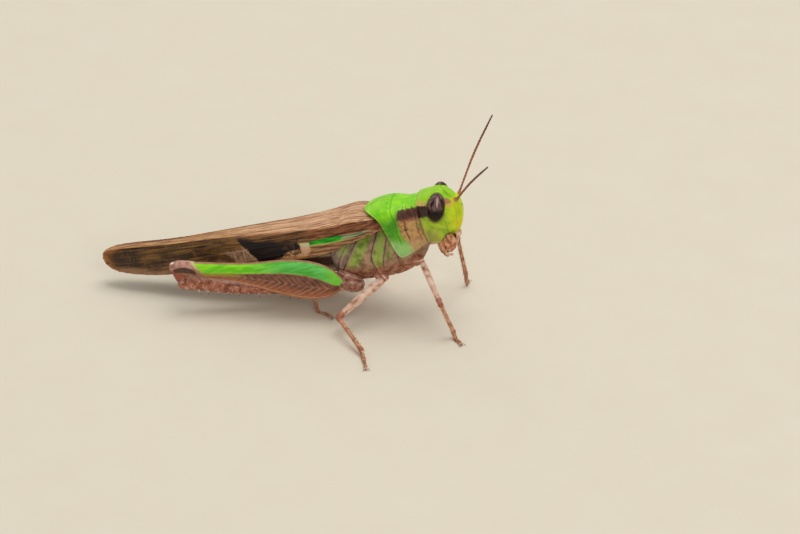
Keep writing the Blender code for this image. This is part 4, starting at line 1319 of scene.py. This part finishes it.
legs = {
    "rings": 64,
    "around": 36,
    "hairLength": 0.2,
    "footHairs": (26, 0.14),  # how many, and their length
    "spurLength": 0.3,
    # Sizes of hip and thigh at both ends. Spines are behind the shin at 1, and ahead of it at -1.
    "fore": {"hip": (1.0, 0.7), "thigh": (0.52, 0.42), "shin": (0.36,), "spines": 5, "spineSide": 1.0},
    "middle": {"hip": (1.08, 0.74), "thigh": (0.7, 0.5), "shin": (0.4,), "spines": 6, "spineSide": -1.0},
    "tarsus": 0.34,
    "footRings": 61,
    "clawLength": 0.3,
    # Share of the length, width and height, in shares of the first or second size of the part.
    # The hind hips have theirs in millimetres.
    "hipShape": [(0.0, 0.7, 0.8, 0), (0.3, 1.0, 1.0, 0), (0.7, 0.96, 1.0, 1), (1.0, 0.7, 0.74, 1)],
    "ringShape": [(0.0, 0.8, 0.8, 0), (0.5, 0.9, 0.92, 0), (1.0, 0.72, 0.76, 0)],
    "thighShape": [
        (0.0, 0.66, 0.72, 0), (0.1, 0.92, 0.98, 0), (0.3, 1.0, 1.08, 0), (0.65, 0.88, 0.94, 0),
        (0.86, 1.0, 1.06, 1), (0.94, 1.1, 1.22, 1), (1.0, 0.82, 0.9, 1),
    ],
    "shinShape": [
        (0.0, 1.05, 1.2, 0), (0.06, 1.12, 1.25, 0), (0.14, 0.86, 0.9, 0), (0.5, 0.86, 0.9, 0),
        (0.9, 1.0, 1.0, 0), (1.0, 1.1, 1.1, 0),
    ],
    "hindHipShape": [
        (0.0, 1.1, 1.2, 0), (0.35, 1.34, 1.38, 0), (0.64, 1.14, 1.18, 0), (0.75, 0.8, 0.86, 0),
        (0.84, 1.0, 1.06, 0), (0.94, 1.0, 1.06, 0), (1.0, 0.8, 0.86, 0),
    ],
    "hindLobeShape": [(0.0, 0.44, 0.44, 0), (0.3, 0.56, 0.54, 0), (0.8, 0.64, 0.66, 0), (1.0, 0.46, 0.5, 0)],
    # Share of the foot's length and share of its thickness, and where its two waists are.
    "footShape": [
        (0.0, 0.8), (0.06, 1.0), (0.2, 1.0), (0.38, 1.05), (0.42, 0.7), (0.46, 0.96), (0.54, 0.98),
        (0.585, 0.6), (0.62, 0.6), (0.8, 0.66), (0.95, 0.86), (1.0, 0.66),
    ],
    "footWaists": (0.42, 0.585),
    "footPads": (0.12, 0.24, 0.36, 0.5),
    # Hip, trochanter, knee, ankle, heel and claws.
    "joints": {
        "fore_right": [(-3.9, 1.0, 5.5), (-3.3, 1.65, 5.74), (-1.32, 4.25, 3.4),
                       (-0.24, 3.9, 0.62), (-0.02, 4.25, 0.0), (0.55, 4.95, 0.0)],
        "fore_left": [(-3.9, 1.0, 5.5), (-3.3, 1.65, 5.74), (-1.33, 4.55, 4.8),
                      (-0.6, 4.55, 1.35), (-0.52, 4.72, 0.0), (-0.5, 5.3, 0.0)],
        "middle": [(-7.0, 1.15, 4.0), (-6.4, 1.9, 3.95), (-9.72, 4.95, 1.62),
                   (-7.25, 7.9, 0.5), (-7.0, 8.4, 0.0), (-6.45, 10.1, 0.0)],
        "hind_right": [(-8.65, 1.5, 2.9), (-9.85, 2.42, 3.35), (-24.05, 3.3, 4.02),
                       (-12.5, 1.25, 1.7), (-12.1, 1.7, 0.0), (-10.75, 2.6, 0.0)],
        "hind_left": [(-8.65, 1.5, 2.9), (-9.85, 2.42, 3.35), (-23.9, 2.9, 2.95),
                      (-12.4, 2.1, 0.7), (-12.3, 2.1, 0.0), (-10.4, 2.5, 0.0)],
    },
}


def legLook(name, pale, mid, dark, blotches):
    look = Look(name)
    _, _, _, skin = look.places()
    mottle = look.noise(skin, blotches, 4.0)
    grain = look.noise(skin, 15.0)
    look.colour = mottle.tones(0.34, 0.6, mid, pale)
    # Near-white flecks where both noises run high: painted highlights, scattered at random.
    look.coat((grain + mottle).rise(1.08, 1.3) * 0.7, "f0ded0")
    look.coat(mottle.fall(0.3, 0.42) * 0.75, dark)
    look.coat(look.measure("ridge") * 0.4, "f4e2ce")
    look.coat(look.measure("joint") * 0.8, "9e4e32")
    look.coat(look.measure("spine") * 0.9, "341a12")
    return look.finish(0.38 + mottle * 0.2, grain, 0.012)


def legMesh():
    return newMesh("ridge", "joint", "spine")


def addSpine(mesh, root, tip, bend, width):
    grid = spikeGrid(root, tip, bend, width, 8, 7)
    dark = rise(np.linspace(0.0, 1.0, len(grid)), 0.55, 0.75)[:, None]
    layGrid(mesh, grid, spine=dark, ridge=1.5 * (1.0 - dark))


def addHairs(mesh, grid, count, length, seed, start=3):
    chance = random.Random(seed)
    middles = grid.mean(axis=1)
    for _ in range(count):
        row = chance.randrange(start, len(grid) - 3)
        root = grid[row, chance.randrange(grid.shape[1])]
        out = unit(root - middles[row])
        ahead = unit(middles[row + 2] - middles[row])
        tip = root + (out * 0.8 + ahead * 0.55) * (length * chance.uniform(0.6, 1.2))
        if tip[2] > 0.02:
            layGrid(mesh, spikeGrid(root - out * 0.01, tip, ahead * 0.03, 0.016, 3, 3))


def addLimb(mesh, start, end, shape, sizes, hairs=0, seed=1, joints=(0.04, 0.95)):
    # Joints: up to and from which share of the length the look is that of a joint.
    share = np.linspace(0.0, 1.0, legs["rings"])
    table = np.array([(at, wide * sizes[size], high * sizes[size]) for at, wide, high, size in shape])
    widths = np.interp(share, *curve(table[:, :2], 80).T)
    heights = np.interp(share, *curve(table[:, ::2], 80).T)
    path = start + (end - start) * share[:, None]
    keels = 5
    grid = limbGrid(path, widths, heights, oval(legs["around"], 2.2, keels, 0.05))
    turn = np.linspace(0.0, 2.0 * math.pi, legs["around"], endpoint=False)
    first, last = joints
    joint = np.maximum(fall(share, first, first + 0.06), rise(share, last - 0.06, last))
    ridge = 0.6 * rise(np.cos(keels * turn), 0.75, 1.0)
    grid = layRings(mesh, grid, ridge=ridge, joint=joint[:, None])
    addHairs(mesh, grid, hairs, legs["hairLength"], seed)
    return path


def addPad(mesh, centre, sizes, ridge):
    def placed(ball):
        place = centre + ball * sizes
        place[:, 2] = np.maximum(place[:, 2], 0.0)
        return place

    for corner in addBall(mesh, 14, 8, placed):
        corner[mesh.verts.layers.float["ridge"]] = ridge


def addTarsus(mesh, ankle, heel, toe, seed):
    # Three joints: a long one with pads, a short one, and a slender one with its claws.
    lift = np.array([0.0, 0.0, legs["tarsus"] / 2.0])
    down = heel + lift
    end = toe + lift
    path = evenly([ankle, down, 0.5 * (down + end), end], legs["footRings"])
    share = np.linspace(0.0, 1.0, legs["footRings"])
    widths = legs["tarsus"] * np.interp(share, *np.array(legs["footShape"]).T)
    path[:, 2] += 0.05 * hump(share - 0.78, 0.12)
    grid = limbGrid(path, widths, widths, oval(24))
    grid[..., 2] = np.maximum(grid[..., 2], 0.0)
    joint = sum(hump(share - waist, 0.025) for waist in legs["footWaists"])
    layRings(mesh, grid, 3, joint=joint[:, None])
    for at in legs["footPads"]:
        row = int(at * (legs["footRings"] - 1))
        ahead = unit(path[row + 2] - path[row])
        if np.linalg.norm(ahead[:2]) >= 0.3:  # no pad where the foot stands steep
            under = squareTo(ahead, (0.0, 0.0, -1.0))
            addPad(mesh, path[row] + under * 0.1, (0.13, 0.13, 0.12), 0.8)
    ahead = unit(end - down)
    across = np.array([-ahead[1], ahead[0], 0.0])
    for side in (-1.0, 1.0):
        tip = end + ahead * legs["clawLength"] + across * (legs["clawLength"] * side)
        tip[2] = 0.02
        addSpine(mesh, end + across * (0.07 * side), tip, (0.0, 0.0, 0.09), 0.11)
    addPad(mesh, end + ahead * 0.1 - (0.0, 0.0, 0.03), (0.11, 0.11, 0.07), 0.0)
    addHairs(mesh, grid, *legs["footHairs"], seed)


def addSpurs(mesh, ankle, ahead, hint, width, length):
    # Four thorns round the end of a shin.
    across = unit(np.cross(ahead, hint))
    upward = np.cross(across, ahead)
    for turn in math.pi * (0.12 + 0.76 * np.linspace(0.0, 1.0, 4)):
        out = across * math.cos(turn) - upward * math.sin(turn)
        root = ankle - ahead * 0.06 + out * width * 0.36
        tip = root + ahead * length * 0.8 + out * length * 0.62
        if tip[2] > 0.03:
            addSpine(mesh, root, tip, -ahead * 0.04, 0.09)


def buildShortLeg(pair, name, joints, looks):
    hip, trochanter, knee, ankle, heel, toe = joints
    size = legs[pair]
    end = pair + "_" + name
    mesh = legMesh()
    root = hip + (trochanter - hip) * 0.92
    addLimb(mesh, hip, root, legs["hipShape"], size["hip"], hairs=30, seed=21, joints=(-0.2, 1.05))
    finishPiece("hip_" + end, mesh, looks["hip"], ["coxa_" + end])
    mesh = legMesh()
    way = unit(knee - trochanter)
    ring = (trochanter - way * 0.16, trochanter + way * 0.12)
    addLimb(mesh, *ring, legs["ringShape"], size["thigh"], joints=(0.2, 0.8))
    thigh = (trochanter + way * 0.1, knee - way * 0.02)
    addLimb(mesh, *thigh, legs["thighShape"], size["thigh"], hairs=70, seed=31, joints=(0.0, 0.92))
    finishPiece("thigh_" + end, mesh, looks["thigh"], ["femur_" + end])
    mesh = legMesh()
    way = unit(ankle - knee)
    shin = (knee + way * 0.02, ankle)
    path = addLimb(mesh, *shin, legs["shinShape"], size["shin"], hairs=60, seed=41, joints=(0.08, 0.98))
    # Two rows of spines, behind a fore shin and ahead of a middle one.
    hint = (0.0, 0.0, 1.0)
    across = unit(np.cross(way, hint))
    inward = np.cross(way, across)
    if inward[0] * size["spineSide"] > 0.0:
        inward = -inward
    thickness = size["shin"][0]
    for index in range(size["spines"]):
        at = path[int(len(path) * (0.4 + 0.54 * index / size["spines"]))]
        for sign in (-1.0, 1.0):
            out = inward * 0.8 + across * (0.6 * sign)
            root = at + out * thickness * 0.36
            addSpine(mesh, root, root + out * 0.2 + way * 0.14, (0.0, 0.0, 0.0), 0.07)
    addSpurs(mesh, ankle, way, hint, thickness, legs["spurLength"])
    finishPiece("shin_" + end, mesh, looks["shin"], ["tibia_" + end])
    mesh = legMesh()
    addTarsus(mesh, ankle, heel, toe, 51)
    finishPiece("foot_" + end, mesh, looks["foot"], ["tarsus_" + end])


# Hind legs

jumper = {
    "rows": 170,
    "around": 128,
    "length": 14.3,
    "depth": 3.46,
    "width": 1.3,
    "chevronSpacing": 0.57,
    "chevronHeight": 0.04,
    "spines": 11,
    "spineLength": 0.5,
    "shin": 0.56,
    "shinRings": 150,
    "shinAround": 32,
    "spurLength": 0.42,
    "thighHairs": (60, 0.16),
    "shinHairs": (150, 0.26),
    # Where the shins bend below their knees: ahead of the fore feet, out to a side, and up.
    "bends": {"right": (-22.6, 3.1, 2.2), "left": (-22.5, 2.95, 1.75)},
    # Share of the length from the hip, and shares of the greatest depth and width there.
    "sizes": [
        (0.0, 0.26, 0.5), (0.03, 0.5, 0.72), (0.07, 0.74, 0.88), (0.13, 0.92, 0.98), (0.2, 1.0, 1.0),
        (0.28, 0.99, 0.98), (0.36, 0.91, 0.9), (0.45, 0.74, 0.78), (0.55, 0.57, 0.66), (0.66, 0.46, 0.58),
        (0.78, 0.4, 0.54), (0.86, 0.37, 0.54), (0.92, 0.4, 0.62), (0.97, 0.38, 0.6), (1.0, 0.24, 0.42),
    ],
    # Half of the section, out and up, in shares of the width and depth.
    "section": [
        (0.03, 0.5), (0.16, 0.465), (0.35, 0.37), (0.48, 0.16), (0.5, -0.08), (0.42, -0.3),
        (0.2, -0.455), (0.04, -0.5),
    ],
    # Share of the length, heights above the middle of the upper and lower ridges of a face.
    "ridges": [
        (0.0, 0.0, -0.5), (0.05, 0.12, -0.85), (0.09, 0.34, -1.15), (0.16, 0.6, -1.42),
        (0.28, 0.72, -1.42), (0.42, 0.5, -1.14), (0.55, 0.22, -0.84), (0.7, 0.0, -0.64),
        (0.8, -0.14, -0.58), (0.87, -0.24, -0.54), (1.0, -0.36, -0.5),
    ],
    # Share of the shin's length, and its width and height there in shares of its size.
    "shinShape": [
        (0.0, 1.2, 1.3), (0.05, 1.25, 1.5), (0.1, 1.08, 2.1), (0.2, 1.12, 2.24), (0.45, 1.1, 1.8),
        (0.7, 0.98, 1.2), (0.9, 0.94, 0.98), (0.96, 1.1, 1.14), (1.0, 1.14, 1.18),
    ],
}


def thighGrid(trochanter, knee, side):
    axis = unit(knee - trochanter)
    outward = squareTo(axis, (0.0, side, 0.0))
    upward = squareTo(axis, (0.0, 0.0, 1.0))
    half = jumper["section"]
    out, up = curve(half + [(-x, y) for x, y in reversed(half)], jumper["around"], closed=True).T
    share, deep, wide = curve(jumper["sizes"], jumper["rows"]).T[..., None]
    share = np.clip(share, 0.0, 1.0)
    deep = deep * jumper["depth"]
    middle = trochanter + (knee - trochanter) * share + upward * (0.12 * np.sin(math.pi * share))
    high = deep * up
    sideways = (wide * jumper["width"] * out)[..., None] * outward
    return middle[:, None, :] + sideways + high[..., None] * upward, share, high, out, deep


def thighMeasures(share, high, out, deep):
    length = share * jumper["length"]
    upperAt = readTable(jumper["ridges"], share, 1)
    lowerAt = readTable(jumper["ridges"], share, 2)
    reach = rise(share, 0.03, 0.08) * fall(share, 0.84, 0.88)
    upper = hump(high - upperAt, 0.045) * reach
    lower = hump(high - lowerAt, 0.065) * reach * fall(share, 0.62, 0.72)
    top = hump(high - 0.5 * deep, 0.045) * fall(share, 0.9, 0.95)
    foot = hump(high + 0.5 * deep, 0.06) * fall(share, 0.88, 0.92)
    middle = 0.5 * (upperAt + lowerAt) + 0.12
    between = rise(high, lowerAt, lowerAt + 0.08) * fall(high, upperAt - 0.08, upperAt) * reach
    spacing = jumper["chevronSpacing"]
    beat = (length - 1.2 * np.abs(high - middle) + 0.03 * np.sin(5.0 * high + 3.0 * length)) / spacing
    chevron = stripes(beat, 0.08 / spacing) * between * (1.0 - 0.6 * rise(high, middle, upperAt))
    chevron *= fall(share, 0.62, 0.74) * (0.75 + 0.25 * np.sin(1.7 * length + 4.0 * high))
    spine = hump(high - middle, 0.04) * between * fall(share, 0.6, 0.74)
    knee = rise(share - 0.07 * (high + 0.2), 0.8, 0.845)
    green = rise(high, upperAt - 0.03, upperAt + 0.03) * rise(out, -0.2, 0.05) * (1.0 - knee)
    green *= fall(high, 0.5 * deep - 0.07, 0.5 * deep - 0.02)
    arc = 0.3 - 0.5 * ((share - 0.925) / 0.08) ** 2
    crescent = rise(arc - high, -0.03, 0.06) * rise(high, arc * 0.5 - 0.5, arc * 0.5 - 0.36)
    crescent *= rise(np.abs(out), 0.2, 0.34) * rise(share, 0.845, 0.86) * fall(share, 0.985, 0.995)
    return {
        "keel": np.maximum.reduce([upper * 0.5, lower, top, foot]),
        "topKeel": np.maximum(top, upper),
        "underGreen": fall(high - upperAt, -0.03, 0.03) * rise(high - upperAt, -0.42, -0.16),
        "chevron": np.clip(chevron + 0.5 * spine, 0.0, 1.0),
        "green": green,
        "knee": knee,
        "crescent": crescent,
        "share": share,
        "height": high / deep + 0.5,
    }


def thighLook():
    look = Look("jumpingThigh")
    along, side, up, skin = look.places()
    share = look.measure("share")
    height = look.measure("height")
    knee = look.measure("knee")
    mottle = look.noise(skin, 0.8, 4.0)
    blotch = look.noise(skin, 2.4, 4.0)
    grain = look.noise(skin, 13.0)
    drawn = look.noise(look.vector(along * 0.35, side * 1.5, up * 2.2), 1.5)
    look.colour = blotch.tones(0.36, 0.64, "5a3026", "864e3c")
    look.coat(height.fall(0.14, 0.4) * 0.6, blotch.between("b05830", "cc8054"))
    look.coat(look.measure("chevron") * 0.62, "ce9870")
    greens = drawn.tones(0.36, 0.64, "48b032", "68cc5c")
    greens = greens.coat(share.rise(0.3, 0.62), drawn.tones(0.36, 0.64, "66ce04", "9aea16"))
    greens = greens.coat(share.fall(0.04, 0.13) * 0.7, "80d428")
    look.coat(look.measure("green"), greens)
    olive = share.within(0.6, 0.87, 0.05) * look.measure("underGreen")
    look.coat(olive * 0.8, drawn.between("828c0a", "bab61e"))
    keel = look.measure("keel") * (1.0 - look.measure("topKeel") * 0.6)
    look.coat(keel * 0.85, blotch.between("d68a58", "f8c69c"))
    kneeColour = blotch.tones(0.36, 0.62, "a66e5c", "d0a08e")
    look.coat(knee, kneeColour.coat(height.fall(0.3, 0.44) * 0.8, "946030"))
    look.coat(knee.line(0.5, 0.45) * height.rise(0.5, 0.7) * 0.7, "e0d488")
    look.coat(look.measure("crescent") * 0.95, blotch.between("2c160e", "543220"))
    look.coat(share.rise(0.986, 0.994) * height.rise(0.88, 0.95) * 0.8, "f6eee2")
    return look.finish(0.36 + mottle * 0.16, grain + blotch * 0.5, 0.014)


def buildThigh(name, trochanter, knee, side, look):
    grid, share, high, out, deep = thighGrid(trochanter, knee, side)
    measures = thighMeasures(share, high, out, deep)
    relief = 0.045 * measures["keel"] + jumper["chevronHeight"] * measures["chevron"]
    relief += 0.05 * (measures["knee"] * hump(high - 0.24, 0.22) - measures["crescent"])
    relief -= 0.04 * hump(share - 0.885, 0.008) * (high < 0.3)
    grid = raised(grid, relief)
    mesh = newMesh(*measures)
    layRings(mesh, grid, 4, 0.8, **measures)
    addHairs(mesh, grid, *jumper["thighHairs"], 71, start=12)
    finishPiece("jumping_thigh_" + name, mesh, look, ["femur_hind_" + name])


def buildHindShin(name, knee, bend, ankle, axis, look):
    size = jumper["shin"]
    upward = squareTo(axis, (0.0, 0.0, 1.0))
    root = knee - axis * 0.42 - upward * 0.62
    turn = 0.5 * (root + bend) + (-0.12, 0.0, -0.12)
    path = evenly([root, turn, bend, 0.5 * (bend + ankle), ankle], jumper["shinRings"])
    share = np.linspace(0.0, 1.0, jumper["shinRings"])
    spots, wide, high = np.array(jumper["shinShape"]).T
    path = path + upward * (0.37 * hump(share - 0.2, 0.19))[:, None]
    widths = size * np.interp(share, spots, wide)
    heights = size * np.interp(share, spots, high)
    grid = limbGrid(path, widths, heights, oval(jumper["shinAround"], 2.6))
    joint = np.maximum(fall(share, 0.02, 0.06), rise(share, 0.965, 0.985))
    circle = np.linspace(0.0, 2.0 * math.pi, jumper["shinAround"], endpoint=False)
    ridge = 0.7 * rise(np.sin(circle), 0.8, 0.95)
    mesh = legMesh()
    grid = layRings(mesh, grid, ridge=ridge, joint=joint[:, None])
    ahead = unit(ankle - bend)
    down = squareTo(ahead, (0.0, 0.0, -1.0))
    across = np.cross(ahead, down)
    chance = random.Random(95)
    for index in range(jumper["spines"]):
        for sign in (-1.0, 1.0):
            step = index + 0.9 + 0.18 * sign + chance.uniform(-0.16, 0.16)
            at = bend + (ankle - bend) * (step / (jumper["spines"] + 1.2))
            out = down * 0.78 + across * (0.62 * sign)
            base = at + out * size * 0.4
            reach = jumper["spineLength"] * chance.uniform(0.82, 1.06)
            tip = base + out * reach + ahead * chance.uniform(0.12, 0.26)
            tip[2] = max(tip[2], 0.03)
            addSpine(mesh, base, tip, ahead * 0.03, 0.16)
    addSpurs(mesh, ankle, ahead, -down, size, jumper["spurLength"])
    addHairs(mesh, grid, *jumper["shinHairs"], 91)
    finishPiece("hind_shin_" + name, mesh, look, ["tibia_hind_" + name])


def buildHindLeg(name, side, looks):
    joints = [standing(joint, side) for joint in legs["joints"]["hind_" + name]]
    hip, trochanter, knee, ankle, heel, toe = joints
    axis = unit(knee - trochanter)
    mesh = legMesh()
    root = trochanter + axis * 0.1
    addLimb(mesh, hip, root, legs["hindHipShape"], (1.0,), hairs=34, seed=61, joints=(-0.2, 1.2))
    lobe = (hip + (0.25, 0.25 * side, 0.6), trochanter + (-0.35, -0.45 * side, 0.74))
    addLimb(mesh, *lobe, legs["hindLobeShape"], (1.0,), joints=(-0.2, 1.2))
    finishPiece("hip_hind_" + name, mesh, looks["hindHip"], ["coxa_hind_" + name])
    buildThigh(name, trochanter, knee, side, looks["hindThigh"])
    bend = standing(jumper["bends"][name], side)
    buildHindShin(name, knee, bend, ankle, axis, looks["hindShin"])
    mesh = legMesh()
    addTarsus(mesh, ankle, heel, toe, 81)
    finishPiece("foot_hind_" + name, mesh, looks["foot"], ["tarsus_hind_" + name])


def buildLegs():
    looks = {
        "hip": legLook("hipShell", "b67456", "94543a", "623426", 1.8),
        "thigh": legLook("legShell", "ecc8b2", "ce987c", "8c563e", 2.4),
        "shin": legLook("shinShell", "ce9268", "ac6c48", "6e3e28", 3.0),
        "foot": legLook("footShell", "be8660", "926042", "5c3624", 3.4),
        "hindHip": legLook("hindHipShell", "ac745c", "744434", "3a1c14", 2.2),
        "hindShin": legLook("hindShinShell", "b87054", "8e4e38", "52281e", 2.6),
        "hindThigh": thighLook(),
    }
    for name, side in sides:
        for pair, key in (("fore", "fore_" + name), ("middle", "middle")):
            joints = [standing(joint, side) for joint in legs["joints"][key]]
            buildShortLeg(pair, name, joints, looks)
    for name, side in sides:
        buildHindLeg(name, side, looks)


print("wings")
buildWings()
buildHindWings()
print("legs")
buildLegs()


# Floor, light and camera

studio = {
    "floor": ("e2d8c4", "e8e0ce"),
    "sky": "eeece8",
    "skyPower": 0.55,
    "lens": 190.0,
    "distance": 351.9,
    "lookBeside": (8.43, 1.03, -5.31),  # from the middle of the insect's box
    "backwards": (0.1504, -0.8529, 0.5),
    # Place in metres, size and power.
    "lamps": {
        "overhead": ((0.05, 0.06, 0.42), 0.3, 0.85),
        "front": ((0.25, -0.38, 0.3), 0.25, 0.4),
        "behind": ((-0.3, 0.3, 0.2), 0.25, 0.15),
    },
}


def facing(made, backwards):
    # A lamp or camera turned to look the other way.
    made.rotation_euler = (-backwards).to_track_quat("-Z", "Y").to_euler()


def buildStudio():
    mesh = bmesh.new()
    bmesh.ops.create_grid(mesh, x_segments=1, y_segments=1, size=3.0)
    data = bpy.data.meshes.new("floor")
    mesh.to_mesh(data)
    mesh.free()
    look = Look("floorPaper")
    look.colour = look.noise(look.node("ShaderNodeTexCoord", output=3), 220.0).between(*studio["floor"])
    data.materials.append(look.finish(0.85, shine=0.2))
    show("floor", data)
    world = bpy.data.worlds.new("studio")
    world.use_nodes = True
    sky = world.node_tree.nodes["Background"]
    sky.inputs[0].default_value = tint(studio["sky"])
    sky.inputs[1].default_value = studio["skyPower"]
    bpy.context.scene.world = world
    middle = (cadLow + cadHigh) / 2.0
    for name, (place, size, power) in studio["lamps"].items():
        lamp = bpy.data.lights.new(name, "AREA")
        lamp.size = size
        lamp.energy = power
        made = show(name, lamp)
        made.location = place
        facing(made, made.location - middle)
    camera = bpy.data.cameras.new("camera")
    camera.lens = studio["lens"]
    camera.sensor_width = 36.0
    camera.clip_start = 0.01
    camera.clip_end = 20.0
    made = show("camera", camera)
    backwards = Vector(studio["backwards"]).normalized()
    made.location = middle + (Vector(studio["lookBeside"]) + backwards * studio["distance"]) / metre
    facing(made, backwards)
    bpy.context.scene.camera = made
    bpy.context.scene.view_settings.view_transform = "Standard"


print("floor, light and camera")
buildStudio()
